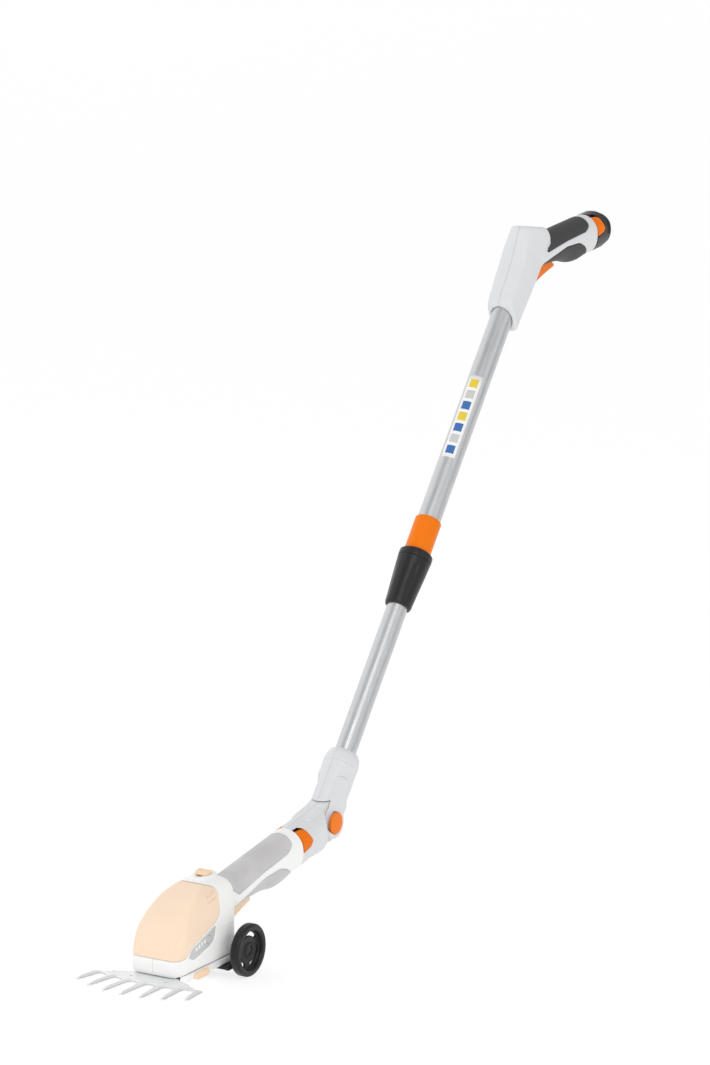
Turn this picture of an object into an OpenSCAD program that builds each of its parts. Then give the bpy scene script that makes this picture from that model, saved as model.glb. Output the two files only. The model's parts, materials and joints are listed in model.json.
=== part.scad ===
// Cordless shear head on a telescopic pole, with support wheels, built as separate pieces.
// Millimetres. X is across the tool, Y runs from the blades to the pole's handle, Z is up.
// The wheels stand on Z = 0, and the origin is under the middle of the whole tool.

/* [Pole] */
// Slope of the pole above the ground at rest
pole_slope = 51.4; // [49:0.2:54]
// Distance along the pole from the knuckle's pin to the handle's elbow
elbow_distance = 771; // [760:1:820]
// Outer radius of the upper tube
upper_tube_r = 14; // [14:0.1:14]
// Outer radius of the lower tube
lower_tube_r = 12.5; // [12:0.1:12.5]
// Wall of both tubes
tube_wall = 1.1; // [0.9:0.1:1.3]
// Distance along the pole from the pin to the foot of the twist sleeve
sleeve_foot = 279.4; // [270:1:290]
// Length of the twist sleeve
sleeve_length = 73; // [70:1:80]

/* [Grips] */
// Slope of the pole handle's grip above the ground
grip_slope = 7; // [5:0.5:9]
// Slope of the shear's grip above the ground
head_slope = 9.5; // [8:0.5:11]
// Half width of a grip
grip_half = 21.5; // [21.5:0.1:22]
// Height of a grip's top above its axis
grip_top = 21.5; // [21:0.5:22]
// Wall of a grip with its rubber pad
grip_wall = 5.4; // [5.4:0.1:5.6]
// Thickness of the rubber pads
pad_t = 2.4; // [2:0.1:2.6]

/* [Knuckle] */
// Height of the knuckle's pin above the ground
joint_z = 110.6; // [109:0.2:113]
// Distance from the wheel axle back to the knuckle's pin
joint_back = 234.8; // [232:0.2:238]
// Distance from the grip's end ring to the knuckle's pin
knuckle_reach = 71.6; // [71:0.2:74]
// Half width of the knuckle's tongue
tongue_half = 11.6; // [11:0.1:11.7]
// Radius of the orange lock buttons
button_r = 13.4; // [12.5:0.1:13.6]

/* [Wheels] */
// Radius of the wheels
wheel_r = 29.2; // [28:0.2:31]
// Width of a wheel
wheel_w = 11; // [10:0.5:12]
// Distance from the middle of the tool to a wheel's outer face
wheel_face = 57; // [56:0.5:60]

/* [Blades] */
// Number of teeth each side of the middle tooth
side_teeth = 3; // [2:1:3]
// Spacing of the teeth at their roots
tooth_pitch = 21.7; // [20.5:0.1:22]
// Length of the middle tooth
tooth_length = 42; // [38:1:46]
// Height of the lower blade's underside above the ground
blade_z = 16; // [16:0.1:16.2]

/* [Hidden] */

$fn = 64;
white = [0.93, 0.93, 0.92];
shaft_grey = [0.87, 0.87, 0.87];
orange = [0.93, 0.47, 0.05];
pale_orange = [0.98, 0.87, 0.76];
pale_grey = [0.8, 0.79, 0.8];
pale_steel = [0.88, 0.89, 0.89];
dark = [0.22, 0.22, 0.22];
black = [0.12, 0.12, 0.12];
metal = [0.75, 0.76, 0.77];
brass = [0.8, 0.65, 0.3];

// Placing: the wheel axle's Y sits so that the tool's whole length is centred on Y = 0.
elbow_to_end = 161.9;
battery_out = 41.5;
blade_front = 128 + tooth_length;
rear_end = joint_back + elbow_distance * cos(pole_slope)
  + (elbow_to_end + battery_out) * cos(grip_slope);
axle_y = (blade_front - rear_end) / 2;
grip_length = 160;
far = 400;
gap = 0.1;
rise = 90 - pole_slope;
knuckle_turn = pole_slope - grip_slope;

module at_head() translate([0, axle_y, 0]) children();
module at_pin() at_head() translate([0, joint_back, joint_z]) children();
module at_pole() at_pin() rotate([-rise, 0, 0]) children();
module at_shear_grip()
  at_pin() rotate([head_slope, 0, 0]) translate([0, -knuckle_reach, 0]) children();
module at_handle_grip()
  at_pole() translate([0, 0, elbow_distance])
    rotate([rise + grip_slope, 0, 0]) translate([0, elbow_to_end, 0]) children();

// A flat shape drawn in X and Z, carried from y0 to y1.
module along_y(y0, y1)
  translate([0, y1, 0]) rotate([90, 0, 0]) linear_extrude(y1 - y0) children();
// A flat shape drawn in Y and Z, carried from x0 to x1.
module along_x(x0, x1)
  translate([x0, 0, 0]) rotate([90, 0, 90]) linear_extrude(x1 - x0) children();
// A rod of radius r along X from x0 to x1.
module rod_x(r, x0, x1) translate([x0, 0, 0]) rotate([0, 90, 0]) cylinder(r = r, h = x1 - x0);
// A rounded outline: the corners of a flat shape eased by r.
module eased(r) offset(r = r) offset(delta = -r) children();
module half(side) translate([side > 0 ? 0 : -far, -2 * far, -2 * far]) cube([far, 4 * far, 4 * far]);

// An oval in X and Z: half an ellipse above, and a squarer, deeper half below.
function soft(v, p) = sign(v) * pow(abs(v), p);
function oval(w, up, down) =
  [for (i = [0:39]) let (a = i * 9, p = sin(a) > 0 ? 1 : 0.85)
    [w * soft(cos(a), p), (sin(a) > 0 ? up : down) * soft(sin(a), p)]];

// ---- Grip unit, the same on the pole and on the shear. Its end ring is at Y = 0. ----
ring_depth = 28;
grip_side = [[-190, 40], [20, 40], [20, -ring_depth], [-24, -ring_depth], [-34, -29.8],
  [-50, -29.5], [-70, -23], [-100, -18.5], [-130, -16.5], [-190, -15]];
upper_pad_zone = [[-137, 0], [-80, 5], [-30, 6], [-19, 12], [-8, 40], [-70, 40], [-141, 8]];
lower_pad_zone = [[-146, -13], [-126, -8], [-84, -2], [-50, -4], [-34, -12], [-17, -26],
  [-14, -60], [-148, -60], [-148, -14]];
trigger_slot_half = 7.5;
pivot_y = -102;
pivot_z = -13.5;
trigger_pin_r = 2;

module grip_body(inset, y0 = -grip_length, y1 = 0)
  intersection() {
    along_y(y0, y1) polygon(oval(grip_half - inset, grip_top - inset, 31 - inset));
    along_x(-far, far) offset(delta = -inset) polygon(grip_side);
  }
module pad_layer(zone)
  intersection() {
    difference() {
      grip_body(0);
      grip_body(pad_t, -grip_length - 1, 1);
    }
    along_x(-far, far) polygon(zone);
  }
module trigger_slot()
  translate([-trigger_slot_half, -148, -60]) cube([2 * trigger_slot_half, 52, 57]);
module grip_pads_cut() {
  pad_layer(upper_pad_zone);
  pad_layer(lower_pad_zone);
}
module trigger_ribs()
  for (side = [-1, 1])
    translate([side > 0 ? 7.6 : -12, -107, -16]) cube([4.4, 10, 8]);
module trigger_bore() translate([0, pivot_y, pivot_z]) rod_x(trigger_pin_r + 0.06, -13, 13);
module grip_pad_upper() pad_layer(upper_pad_zone);
module grip_pad_lower()
  difference() {
    pad_layer(lower_pad_zone);
    trigger_slot();
  }
module trigger()
  union() {
    along_x(-7, 7)
      polygon([[-148, -31.5], [-145, -34], [-101, -22.5], [-99.5, -19], [-99.5, -11],
        [-128, -11], [-134, -16]]);
    translate([0, pivot_y, pivot_z]) rod_x(trigger_pin_r, -11, 11);
  }
module switch_block() translate([-14.5, -127, -3]) cube([29, 14, 9]);
module contact_block() translate([-13, -72, -12]) cube([26, 11.5, 22]);

// ---- Plug that enters a grip's end ring, and the latches beside it ----
plug_length = 56;
latch_zone = [[1.2, 17.5], [14, 16], [21, 0], [16, -4.5], [1.2, -6.5]];
latch_face = 21.8;
latch_t = 4;
latch_edge = 9;
latch_travel = 2.2;

module plug(y1) along_y(-plug_length, y1) polygon(oval(15.3, 15.3, 19.5));
module end_section(inset = 0)
  polygon(oval(grip_half - 0.2 - inset, grip_top - 0.2 - inset, ring_depth - inset));
module latch(side)
  mirror([side > 0 ? 0 : 1, 0, 0])
    intersection() {
      along_x(latch_edge, 30) polygon(latch_zone);
      along_y(0, 30) difference() {
        polygon(oval(latch_face, latch_face, ring_depth + 0.5));
        latch_seat(latch_t);
      }
    }
module latch_seat(depth) polygon(oval(latch_face - depth, latch_face - depth, ring_depth - depth));
module latch_pockets()
  for (side = [0, 1])
    mirror([side, 0, 0])
      difference() {
        along_x(latch_edge - latch_travel - 0.2, 30) offset(delta = 0.3) polygon(latch_zone);
        translate([-latch_travel, 0, 0]) along_y(-1, 30) latch_seat(latch_t + 0.2);
      }

// ---- Pole handle ----
housing_half = 22;
housing_side = [[-168, 42], [-134, 34], [-124, 22], [-118, 10], [-118, -12], [-144, -17],
  [-152, -24], [-211, -81.5], [-220, -79], [-232.5, -41], [-193, 1]];
tube_top = 745;

module on_pole_axis()
  translate([0, -elbow_to_end, 0]) rotate([-(90 - knuckle_turn), 0, 0]) children();
module housing(inset)
  intersection() {
    along_x(-far, far) eased(4) offset(delta = -inset) polygon(housing_side);
    on_pole_axis() translate([0, 0, -110])
      linear_extrude(190) polygon(oval_pole(inset));
  }
function oval_pole(inset) =
  [for (p = oval(housing_half - inset, 40 - inset, 26 - inset)) [p[0], -p[1]]];
screw_seat = 14.4;
module handle_screw_places()
  for (spot = [[-202.5, -66.6], [-176, 14], [-146, 22]])
    translate([0, spot[0], spot[1]]) children();
module handle_shell(side)
  intersection() {
    difference() {
      union() {
        difference() {
          union() {
            housing(0);
            grip_body(0);
          }
          intersection() {
            difference() {
              housing(2.6);
              handle_screw_places() rod_x(4.5, -housing_half, housing_half);
            }
            on_pole_axis() translate([-far, -far, -12]) cube(2 * far);
          }
          grip_body(grip_wall, -grip_length + 4, 1);
          grip_pads_cut();
          trigger_slot();
        }
        trigger_ribs();
      }
      trigger_bore();
      on_pole_axis() translate([0, 0, -200])
        cylinder(r = upper_tube_r, h = tube_top - elbow_distance + 200);
      handle_screw_places() rod_x(2.6, -far, -screw_seat);
      handle_screw_places() rod_x(1.3, -screw_seat - 1, 9);
    }
    half(side);
  }
module handle_shell_left() color(shaft_grey) at_handle_grip() handle_shell(1);
module handle_shell_right() color(shaft_grey) at_handle_grip() handle_shell(-1);
module handle_grip_pad() color(dark) at_handle_grip() grip_pad_upper();
module handle_lower_pad() color(dark) at_handle_grip() grip_pad_lower();
module handle_screws()
  color(metal) at_handle_grip() handle_screw_places() {
    rod_x(2.5, -screw_seat - 1.8, -screw_seat);
    rod_x(1.3, -screw_seat, 8);
  }
module handle_switch() color(black) at_handle_grip() switch_block();
module handle_contacts() color(brass) at_handle_grip() contact_block();
module handle_trigger() color(orange) at_handle_grip() trigger();

// ---- Battery ----
cell_r = 7;
cell_places = [[-7.5, -9.2], [7.5, -9.2], [0, 4]];
module battery_case()
  color(dark) at_handle_grip()
    difference() {
      union() {
        plug(1);
        intersection() {
          along_y(0.3, battery_out) end_section();
          along_x(-far, far) eased(9)
            polygon([[-30, 60], [24, 24], [34, 16], [39, 6], [battery_out, -8], [40, -21],
              [34, -28], [26, -32], [-30, -60]]);
        }
      }
      for (place = cell_places)
        translate([place[0], 0, place[1]]) along_y(-54, 10) circle(r = cell_r + 0.1);
      latch_pockets();
    }
module battery_cells()
  color(metal) at_handle_grip()
    for (place = cell_places) translate([place[0], 0, place[1]]) along_y(-53.5, 9.5) circle(r = cell_r);
module battery_latch_left() color(orange) at_handle_grip() latch(1);
module battery_latch_right() color(orange) at_handle_grip() latch(-1);

// ---- Tubes, collar and twist sleeve, along the pole's axis ----
collar_r = 16.1;
collet_foot = sleeve_foot + 6;
upper_foot = sleeve_foot + 26.6;
sleeve_top = sleeve_foot + sleeve_length;
sleeve_top_r = 20.6;
collar_top = sleeve_top + 45.5;
lower_top = sleeve_top + 160;
arm_bore_foot = 32;

module ring_z(r_out, r_in, z0, z1)
  translate([0, 0, z0]) difference() {
    cylinder(r = r_out, h = z1 - z0);
    translate([0, 0, -1]) cylinder(r = r_in, h = z1 - z0 + 2);
  }
module upper_tube()
  color(metal) at_pole() ring_z(upper_tube_r, upper_tube_r - tube_wall, upper_foot, tube_top);
module lower_tube()
  color(metal) at_pole() ring_z(lower_tube_r, lower_tube_r - tube_wall, arm_bore_foot, lower_top);
module collar_sleeve()
  color(orange) at_pole()
    rotate_extrude() polygon([[upper_tube_r, sleeve_foot + 32], [collar_r, sleeve_foot + 32],
      [collar_r, collar_top - 4], [collar_r - 0.8, collar_top - 1], [upper_tube_r + 0.6, collar_top],
      [upper_tube_r, collar_top]]);
module clamp_collet()
  color(black) at_pole() difference() {
    ring_z(upper_tube_r, lower_tube_r + gap, collet_foot, upper_foot - gap);
    for (turn = [0, 120, 240])
      rotate([0, 0, turn]) translate([0, -0.8, collet_foot - 1]) cube([far, 1.6, 13]);
  }
module twist_sleeve()
  color(black) at_pole() difference() {
    rotate_extrude() polygon([[lower_tube_r + 0.5, sleeve_foot], [14.8, sleeve_foot],
      [16.1, sleeve_foot + 2.5], [sleeve_top_r, sleeve_top - 5], [sleeve_top_r - 1.6, sleeve_top - 1],
      [sleeve_top_r - 3, sleeve_top], [collar_r + 0.3, sleeve_top],
      [collar_r + 0.3, sleeve_foot + 30], [upper_tube_r + 0.4, sleeve_foot + 30],
      [upper_tube_r + 0.4, collet_foot - 0.5], [lower_tube_r + 0.5, collet_foot - 0.5]]);
    for (turn = [45:90:315])
      rotate([0, 0, turn]) translate([17.9, -4.5, sleeve_foot + 7])
        rotate([0, 3.5, 0]) cube([10, 9, 36]);
  }
module glide_bush()
  color(black) at_pole() {
    ring_z(upper_tube_r - tube_wall - 0.06, 8, lower_top, lower_top + 14);
    ring_z(lower_tube_r - tube_wall, 8, lower_top - 16, lower_top);
  }

// ---- Arm: the fork at the pole's foot ----
arm_r = 20.5;
arm_top = 88;
cheek_r = 18;
cheek_face = 21;
fork_gap = tongue_half + 0.6;
pocket_floor = 16.2;
pin_r = 4;

module arm_barrel()
  difference() {
    rotate_extrude() polygon([[0, 0], [arm_r, 0], [arm_r, arm_top - 9], [19, arm_top - 4],
      [15.5, arm_top], [0, arm_top]]);
    rotate([0, 90, 0]) translate([0, 0, -far])
      linear_extrude(2 * far) polygon([[10, 60], [-20.5, 20.6], [-14, -20.6], [10, -60]]);
  }
module cheek_profile() {
  circle(r = cheek_r);
  translate([-24, -17.5]) square([24, 35]);
}
module arm_body()
  difference() {
    union() {
      arm_barrel();
      intersection() {
        rotate([0, 90, 0]) translate([0, 0, -cheek_face]) linear_extrude(2 * cheek_face) cheek_profile();
        union() {
          cylinder(r = 24, h = 30);
          rod_x(cheek_r, -30, 30);
        }
      }
    }
    rod_x(25, -fork_gap, fork_gap);
    translate([0, 0, arm_bore_foot]) cylinder(r = lower_tube_r, h = far);
    translate([0, 0, 10]) cylinder(r = 9, h = 40);
    for (side = [0, 1]) mirror([side, 0, 0]) rod_x(button_r + 0.3, pocket_floor, far);
    rod_x(pin_r, -20, 20);
    arm_screw_places() rod_x(2.4, -far, -16.5);
    arm_screw_places() rod_x(1.2, -17, -8);
  }
module arm_screw_places()
  for (spot = [[15.5, 40], [15.5, 74], [-15.5, 40], [-15.5, 74]])
    translate([0, spot[0], spot[1]]) children();
module arm_shell(side)
  intersection() {
    arm_body();
    half(side);
  }
module arm_shell_left() color(shaft_grey) at_pole() arm_shell(1);
module arm_shell_right() color(shaft_grey) at_pole() arm_shell(-1);
module knuckle_pin() color(metal) at_pole() rod_x(pin_r, -pocket_floor, pocket_floor);
module arm_screws()
  color(metal) at_pole() arm_screw_places() rod_x(1.2, -12.8, -8.5);
module lock_button(side)
  color(orange) at_pole() mirror([side > 0 ? 0 : 1, 0, 0])
    difference() {
      union() {
        rod_x(button_r, 19.4, 22);
        rod_x(button_r - 1, 21.9, 22.8);
      }
      rod_x(9, 19, 21.8);
    }
module lock_button_left() lock_button(1);
module lock_button_right() lock_button(-1);
module button_springs()
  color(metal) at_pole() for (side = [0, 1]) mirror([side, 0, 0])
    difference() {
      rod_x(7, pocket_floor, pocket_floor + 2.5);
      rod_x(5.6, pocket_floor - 1, pocket_floor + 4);
    }

// ---- Adapter: knuckle body and plug, in the shear grip's frame ----
tongue_r = 24;
adapter_side = [[0.3, 60], [63.6, 60], [63.6, 10], [54.6, -8.5], [52, -24], [50, -28.5],
  [47, -30], [43, -30], [40, -28], [0.3, -60]];
module adapter_body()
  difference() {
    union() {
      difference() {
        intersection() {
          along_y(0.3, 68) end_section();
          along_x(-far, far) polygon(adapter_side);
        }
        translate([0, knuckle_reach, 0]) rod_x(19, -far, far);
      }
      along_x(-tongue_half, tongue_half)
        polygon([[30, 21], [55, 22.5], [63.6, 22.5], [63.6, 0], [52, -24], [30, -27.5]]);
      translate([0, knuckle_reach, 0]) rod_x(tongue_r, -tongue_half, tongue_half);
    }
    intersection() {
      along_y(3, 40) end_section(2.6);
      along_x(-far, far) polygon([[3, 18], [40, 18], [40, -24], [3, -24]]);
    }
    along_y(-1, 8) polygon(oval(15.3, 15.3, 19.5));
    latch_pockets();
    translate([0, knuckle_reach, 0]) {
      rod_x(pin_r + 0.05, -20, 20);
      rod_x(14, -6, 6);
    }
  }
module adapter_shell(side)
  at_shear_grip() intersection() {
    adapter_body();
    half(side);
  }
module adapter_shell_left() color(shaft_grey) adapter_shell(1);
module adapter_shell_right() color(shaft_grey) adapter_shell(-1);
module adapter_plug() color(black) at_shear_grip() plug(8);
module adapter_contacts()
  color(brass) at_shear_grip()
    for (x = [-8, 0, 8]) translate([x - 0.6, -plug_length - 3, -5]) cube([1.2, 3, 8]);
module locking_ring()
  color(metal) at_shear_grip() translate([0, knuckle_reach, 0])
    difference() {
      rod_x(14, -6, 6);
      rod_x(8, -7, 7);
    }
module adapter_latch_left() color(orange) at_shear_grip() latch(1);
module adapter_latch_right() color(orange) at_shear_grip() latch(-1);

// ---- Shear body: Y = 0 is the wheel axle ----
body_half = 33;
shell_t = 2.4;
shell_floor = 21;
body_side = [[-105, 21], [-108, 25], [-108, 38], [-102, 60], [-86, 81], [-63, 95.5],
  [-38, 105], [-12, 109], [7, 105.5], [12, 98], [12, 28], [7, 21]];
body_front = [[-30, 21], [-body_half, 27], [-body_half, 62], [-30.5, 82], [-25.5, 98],
  [-14, 108], [0, 111], [14, 108], [25.5, 98], [30.5, 82], [body_half, 62], [body_half, 27],
  [30, 21]];
body_plan = [[-27, -110], [-31, -103], [-body_half, -90], [-body_half, -6], [-29, 8], [-20, 14],
  [20, 14], [29, 8], [body_half, -6], [body_half, -90], [31, -103], [27, -110]];
cover_zone = [[-130, 39], [-97, 40], [-88, 42], [-82, 51], [-33, 65.5], [-22, 72], [-18, 100],
  [-34, 106], [-40, 130], [-130, 130]];
panel_zone = [[-87, 40.5], [-81.5, 49], [-34, 63.3], [-39, 48], [-50, 43], [-78, 36.5]];
panel_back = 31.6;
pivot_back = -88;
gear_back = -67.5;
motor_back = -45;

module body_solid(inset)
  intersection() {
    along_x(-far, far) offset(delta = -inset) eased(3) polygon(body_side);
    along_y(-far, far) offset(delta = -inset) eased(3) polygon(body_front);
    linear_extrude(far) offset(delta = -inset) eased(3) polygon(body_plan);
  }
module cover_block(shrink) along_x(-far, far) offset(delta = -shrink) polygon(cover_zone);
module shear_screw_places()
  for (spot = [[-97, 31], [-8, 31], [2, 88]])
    translate([0, spot[0], spot[1]]) children();
module shear_bosses() shear_screw_places() rod_x(4.5, -body_half, body_half);
module shear_shell(side)
  intersection() {
    difference() {
      union() {
        difference() {
          union() {
            body_solid(0);
            at_grip_from_head() grip_body(0);
          }
          difference() {
            body_solid(shell_t);
            shear_bosses();
          }
          cover_block(0);
          at_grip_from_head() {
            grip_body(grip_wall, -grip_length - 6, 1);
            grip_pads_cut();
            trigger_slot();
          }
        }
        at_grip_from_head() trigger_ribs();
      }
      at_grip_from_head() trigger_bore();
      shear_screw_places() rod_x(2.4, -far, -31);
      shear_screw_places() rod_x(1.2, -32, 14);
      translate([0, gear_back, 0]) cylinder(r = 6.3, h = 30);
      translate([0, pivot_back, 0]) cylinder(r = 3, h = 30);
      along_x(panel_back, far) polygon(panel_zone);
      translate([0, -48.5, 51]) rod_x(4.7, 20, 40);
      translate([-4, -20, 95]) cube([8, 15.5, 40]);
    }
    half(side);
  }
module at_grip_from_head()
  translate([0, joint_back, joint_z]) rotate([head_slope, 0, 0])
    translate([0, -knuckle_reach, 0]) children();
module shear_shell_left() color(white) at_head() shear_shell(1);
module shear_shell_right() color(white) at_head() shear_shell(-1);
module top_cover()
  color(pale_orange) at_head() difference() {
    intersection() {
      body_solid(0);
      cover_block(gap);
    }
    body_solid(shell_t);
  }
module shear_grip_pad() color(pale_grey) at_shear_grip() grip_pad_upper();
module shear_lower_pad() color(pale_grey) at_shear_grip() grip_pad_lower();
module shear_switch() color(black) at_shear_grip() switch_block();
module shear_trigger() color(pale_orange) at_shear_grip() trigger();
module led_places()
  for (i = [0:3]) translate([0, -73 + 5.3 * i, 44.6 + 1.5 * i]) children();
module charge_leds()
  color("white") at_head() led_places() translate([panel_back, -1.1, 0]) cube([2, 2.2, 4.4]);
module charge_panel()
  color(pale_grey) at_head() difference() {
    along_x(panel_back, body_half + 0.2) offset(delta = -gap) polygon(panel_zone);
    led_places() translate([panel_back - 1, -1.15, -0.05]) cube([4, 2.3, 4.5]);
    translate([0, -48.5, 51]) rod_x(4.5, 20, 40);
  }
module charge_button() color(pale_grey) at_head() translate([0, -48.5, 51]) rod_x(4.2, 31.2, 33.9);
module thumb_slider()
  color(pale_orange) at_head() {
    along_x(-8, 8) polygon([[-17, 109.4], [-14, 112.6], [-8, 114.4], [-2, 112.6], [1, 109.4]]);
    translate([-3.6, -14, 101.5]) cube([7.2, 8, 8.2]);
    translate([-7, -18, 101.5]) cube([14, 16, 2.3]);
  }
module shear_screws()
  color(metal) at_head() shear_screw_places() {
    rod_x(2.4, -32.6, -31);
    rod_x(1.2, -31, 13.5);
  }

// ---- Drive: motor, pinion, crank gear ----
gear_teeth = 36;
pinion_teeth = 9;
function gear_outline(teeth, root, tip, root_half, tip_half, first) =
  [for (i = [0:teeth - 1], edge = [[root, -root_half], [tip, -tip_half], [tip, tip_half], [root, root_half]])
    let (a = first + i * 360 / teeth + edge[1]) [edge[0] * cos(a), edge[0] * sin(a)]];
module motor()
  color(metal) at_head() translate([0, motor_back, 39])
    difference() {
      cylinder(r = 14, h = 50);
      translate([0, 0, -1]) cylinder(r = 1.6, h = 8);
    }
module motor_pinion()
  color(metal) at_head() translate([0, motor_back, 28.5]) {
    linear_extrude(6) polygon(gear_outline(pinion_teeth, 3.5, 5.3, 11, 5, 20 - 90));
    cylinder(r = 1.5, h = 16);
  }
module crank_gear()
  color(metal) at_head() translate([0, gear_back, 29]) {
    difference() {
      linear_extrude(5) polygon(gear_outline(gear_teeth, 16.8, 18.8, 2.6, 1.2, 90));
      translate([0, 0, -1]) cylinder(r = 2.55, h = 7);
    }
    translate([0, 3, -10.3]) cylinder(r = 2.5, h = 10.4);
    translate([0, 0, -1.5]) cylinder(r = 8, h = 1.5);
  }
module gear_axle() color(metal) at_head() translate([0, gear_back, 29.2]) cylinder(r = 2.5, h = 9.8);
module gearbox_plate()
  color(metal) at_head() difference() {
    translate([0, 0, 36]) linear_extrude(3)
      polygon([[-27, -98], [27, -98], [30, -88], [30, -24], [-30, -24], [-30, -88]]);
    translate([0, gear_back, 30]) cylinder(r = 2.5, h = 20);
    translate([0, motor_back, 30]) cylinder(r = 6, h = 20);
  }
module control_board() color("seagreen") at_head() translate([-22, -14, 42]) cube([44, 1.6, 46]);

// ---- Blades ----
blade_t = 2.3;
upper_blade_z = blade_z + blade_t + 0.2;
root_y = -128;
function front_edge(x) = root_y + pow(x / tooth_pitch, 2);
module tooth(k, root_half, tip_half, shorten) {
  reach = tooth_length - 1.2 * k * k - shorten;
  translate([k * tooth_pitch, front_edge(k * tooth_pitch)]) rotate(3 * k)
    polygon([[-root_half, 6], [root_half, 6], [tip_half + 0.8, 4 - reach], [tip_half - 1, -reach],
      [1 - tip_half, -reach], [-tip_half - 0.8, 4 - reach]]);
}
module comb(root_half, tip_half, shorten, tail_half, tail_back) {
  wing = side_teeth * tooth_pitch + root_half + 0.6;
  polygon(concat(
    [[-wing, -124], [-wing + 4, -119], [-31, -104], [-tail_half, -92], [-tail_half, tail_back],
      [tail_half, tail_back], [tail_half, -92], [31, -104], [wing - 4, -119], [wing, -124]],
    [for (i = [7:-1:-7]) [i * wing / 8, front_edge(i * wing / 8)]]));
  for (k = [-side_teeth:side_teeth]) tooth(k, root_half, tip_half, shorten);
}
module lower_blade()
  color(pale_steel) at_head() translate([0, 0, blade_z]) difference() {
    linear_extrude(blade_t) comb(5.2, 2.4, 0, 24, -48);
    translate([0, pivot_back, -1]) cylinder(r = 3, h = 5);
  }
module upper_blade()
  color(pale_steel) at_head() translate([0, 0, upper_blade_z]) difference() {
    linear_extrude(2) comb(4.4, 2, 4, 12.5, -56);
    translate([0, pivot_back, -1]) cylinder(r = 3.06, h = 5);
    translate([-7.9, gear_back - 6, -1]) cube([15.8, 12, 5]);
  }
module blade_bolt()
  color(metal) at_head() translate([0, pivot_back, 0]) {
    translate([0, 0, plate_foot]) cylinder(r = 3, h = 24 - plate_foot);
    translate([0, 0, 23.4]) cylinder(r = 5.4, h = 2.6);
  }
plate_foot = 13.5;
plate_half = 31;
module base_plate()
  color(white) at_head() difference() {
    translate([0, 0, plate_foot]) linear_extrude(shell_floor - gap - plate_foot)
      eased(4) polygon([[-27, -96], [27, -96], [plate_half, -88], [plate_half, 4], [25, 8], [-25, 8],
        [-plate_half, 4], [-plate_half, -88]]);
    translate([-26, -120, blade_z - gap]) cube([52, 74, 10]);
    translate([-far, -67, plate_foot - 1]) cube([2 * far, 15.5, 3.5]);
    translate([0, pivot_back, plate_foot - 1]) cylinder(r = 3, h = 10);
  }
module blade_latch()
  color(pale_orange) at_head() {
    translate([-plate_half - 1, -66, plate_foot + 0.2]) cube([2 * plate_half + 2, 8, 2.1]);
    for (side = [0, 1]) mirror([side, 0, 0])
      along_x(plate_half + 0.3, plate_half + 2.6)
        polygon([[-76, 14], [-70, 11.8], [-50, 11.8], [-48, 14], [-48, 20.4], [-74, 20.4]]);
  }

// ---- Wheels ----
ear_in = 38;
ear_out = 41.5;
axle_r = 3;
disc_face = wheel_face - 5;
foot_z = 10.5;
module wheel(side)
  color(black) at_head() translate([0, 0, wheel_r]) mirror([side > 0 ? 0 : 1, 0, 0])
    rotate([0, 90, 0]) difference() {
      rotate_extrude($fn = 96) polygon([[axle_r + 0.05, 44.5], [9, 44.5], [10, disc_face - 3],
        [wheel_r - 7.5, disc_face - 3], [wheel_r - 6.5, wheel_face - wheel_w],
        [wheel_r - 1.5, wheel_face - wheel_w], [wheel_r, wheel_face - wheel_w + 2],
        [wheel_r, wheel_face - 2], [wheel_r - 1.5, wheel_face], [wheel_r - 6, wheel_face],
        [wheel_r - 7.5, disc_face], [5.6, disc_face], [5.6, 49.5], [axle_r + 0.05, 49.5]]);
      for (turn = [0, 120, 240])
        rotate([0, 0, turn]) translate([0, 0, 40]) linear_extrude(20) arc_slot(14, 20, 47);
    }
module arc_slot(r0, r1, reach)
  polygon(concat([for (i = [-8:8]) [r1 * cos(i * reach / 8), r1 * sin(i * reach / 8)]],
    [for (i = [8:-1:-8]) [r0 * cos(i * reach / 8), r0 * sin(i * reach / 8)]]));
module wheel_left() wheel(1);
module wheel_right() wheel(-1);
module wheel_axles()
  color(metal) at_head() translate([0, 0, wheel_r])
    for (side = [0, 1]) mirror([side, 0, 0]) rod_x(axle_r, 36, 51);
module axle_clips()
  color(metal) at_head() translate([0, 0, wheel_r])
    for (side = [0, 1]) mirror([side, 0, 0]) difference() {
      rod_x(4.9, 49.8, 50.6);
      rod_x(axle_r, 45, 52);
    }
module wheel_bracket()
  color(black) at_head() difference() {
    union() {
      translate([-ear_out, -24, foot_z]) cube([2 * ear_out, 22, plate_foot - foot_z]);
      for (side = [0, 1]) mirror([side, 0, 0]) along_x(ear_in, ear_out) {
        polygon([[-24, foot_z], [-24, plate_foot], [-16, 17], [-5, wheel_r + 6], [5, wheel_r + 6],
          [7.5, wheel_r - 2], [-2, foot_z]]);
        translate([0, wheel_r]) circle(r = 8);
      }
    }
    translate([0, 0, wheel_r]) rod_x(axle_r, -60, 60);
  }

handle_shell_left();
handle_shell_right();
handle_grip_pad();
handle_lower_pad();
handle_screws();
handle_switch();
handle_contacts();
upper_tube();
collar_sleeve();
clamp_collet();
handle_trigger();
battery_case();
battery_cells();
battery_latch_left();
battery_latch_right();
twist_sleeve();
lower_tube();
glide_bush();
arm_shell_left();
arm_shell_right();
knuckle_pin();
arm_screws();
lock_button_left();
lock_button_right();
button_springs();
adapter_shell_left();
adapter_shell_right();
adapter_plug();
adapter_contacts();
locking_ring();
adapter_latch_left();
adapter_latch_right();
shear_shell_left();
shear_shell_right();
top_cover();
shear_grip_pad();
shear_lower_pad();
charge_panel();
charge_leds();
motor();
gearbox_plate();
gear_axle();
control_board();
shear_switch();
base_plate();
lower_blade();
blade_bolt();
wheel_bracket();
wheel_axles();
axle_clips();
shear_screws();
shear_trigger();
thumb_slider();
charge_button();
blade_latch();
upper_blade();
motor_pinion();
crank_gear();
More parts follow.
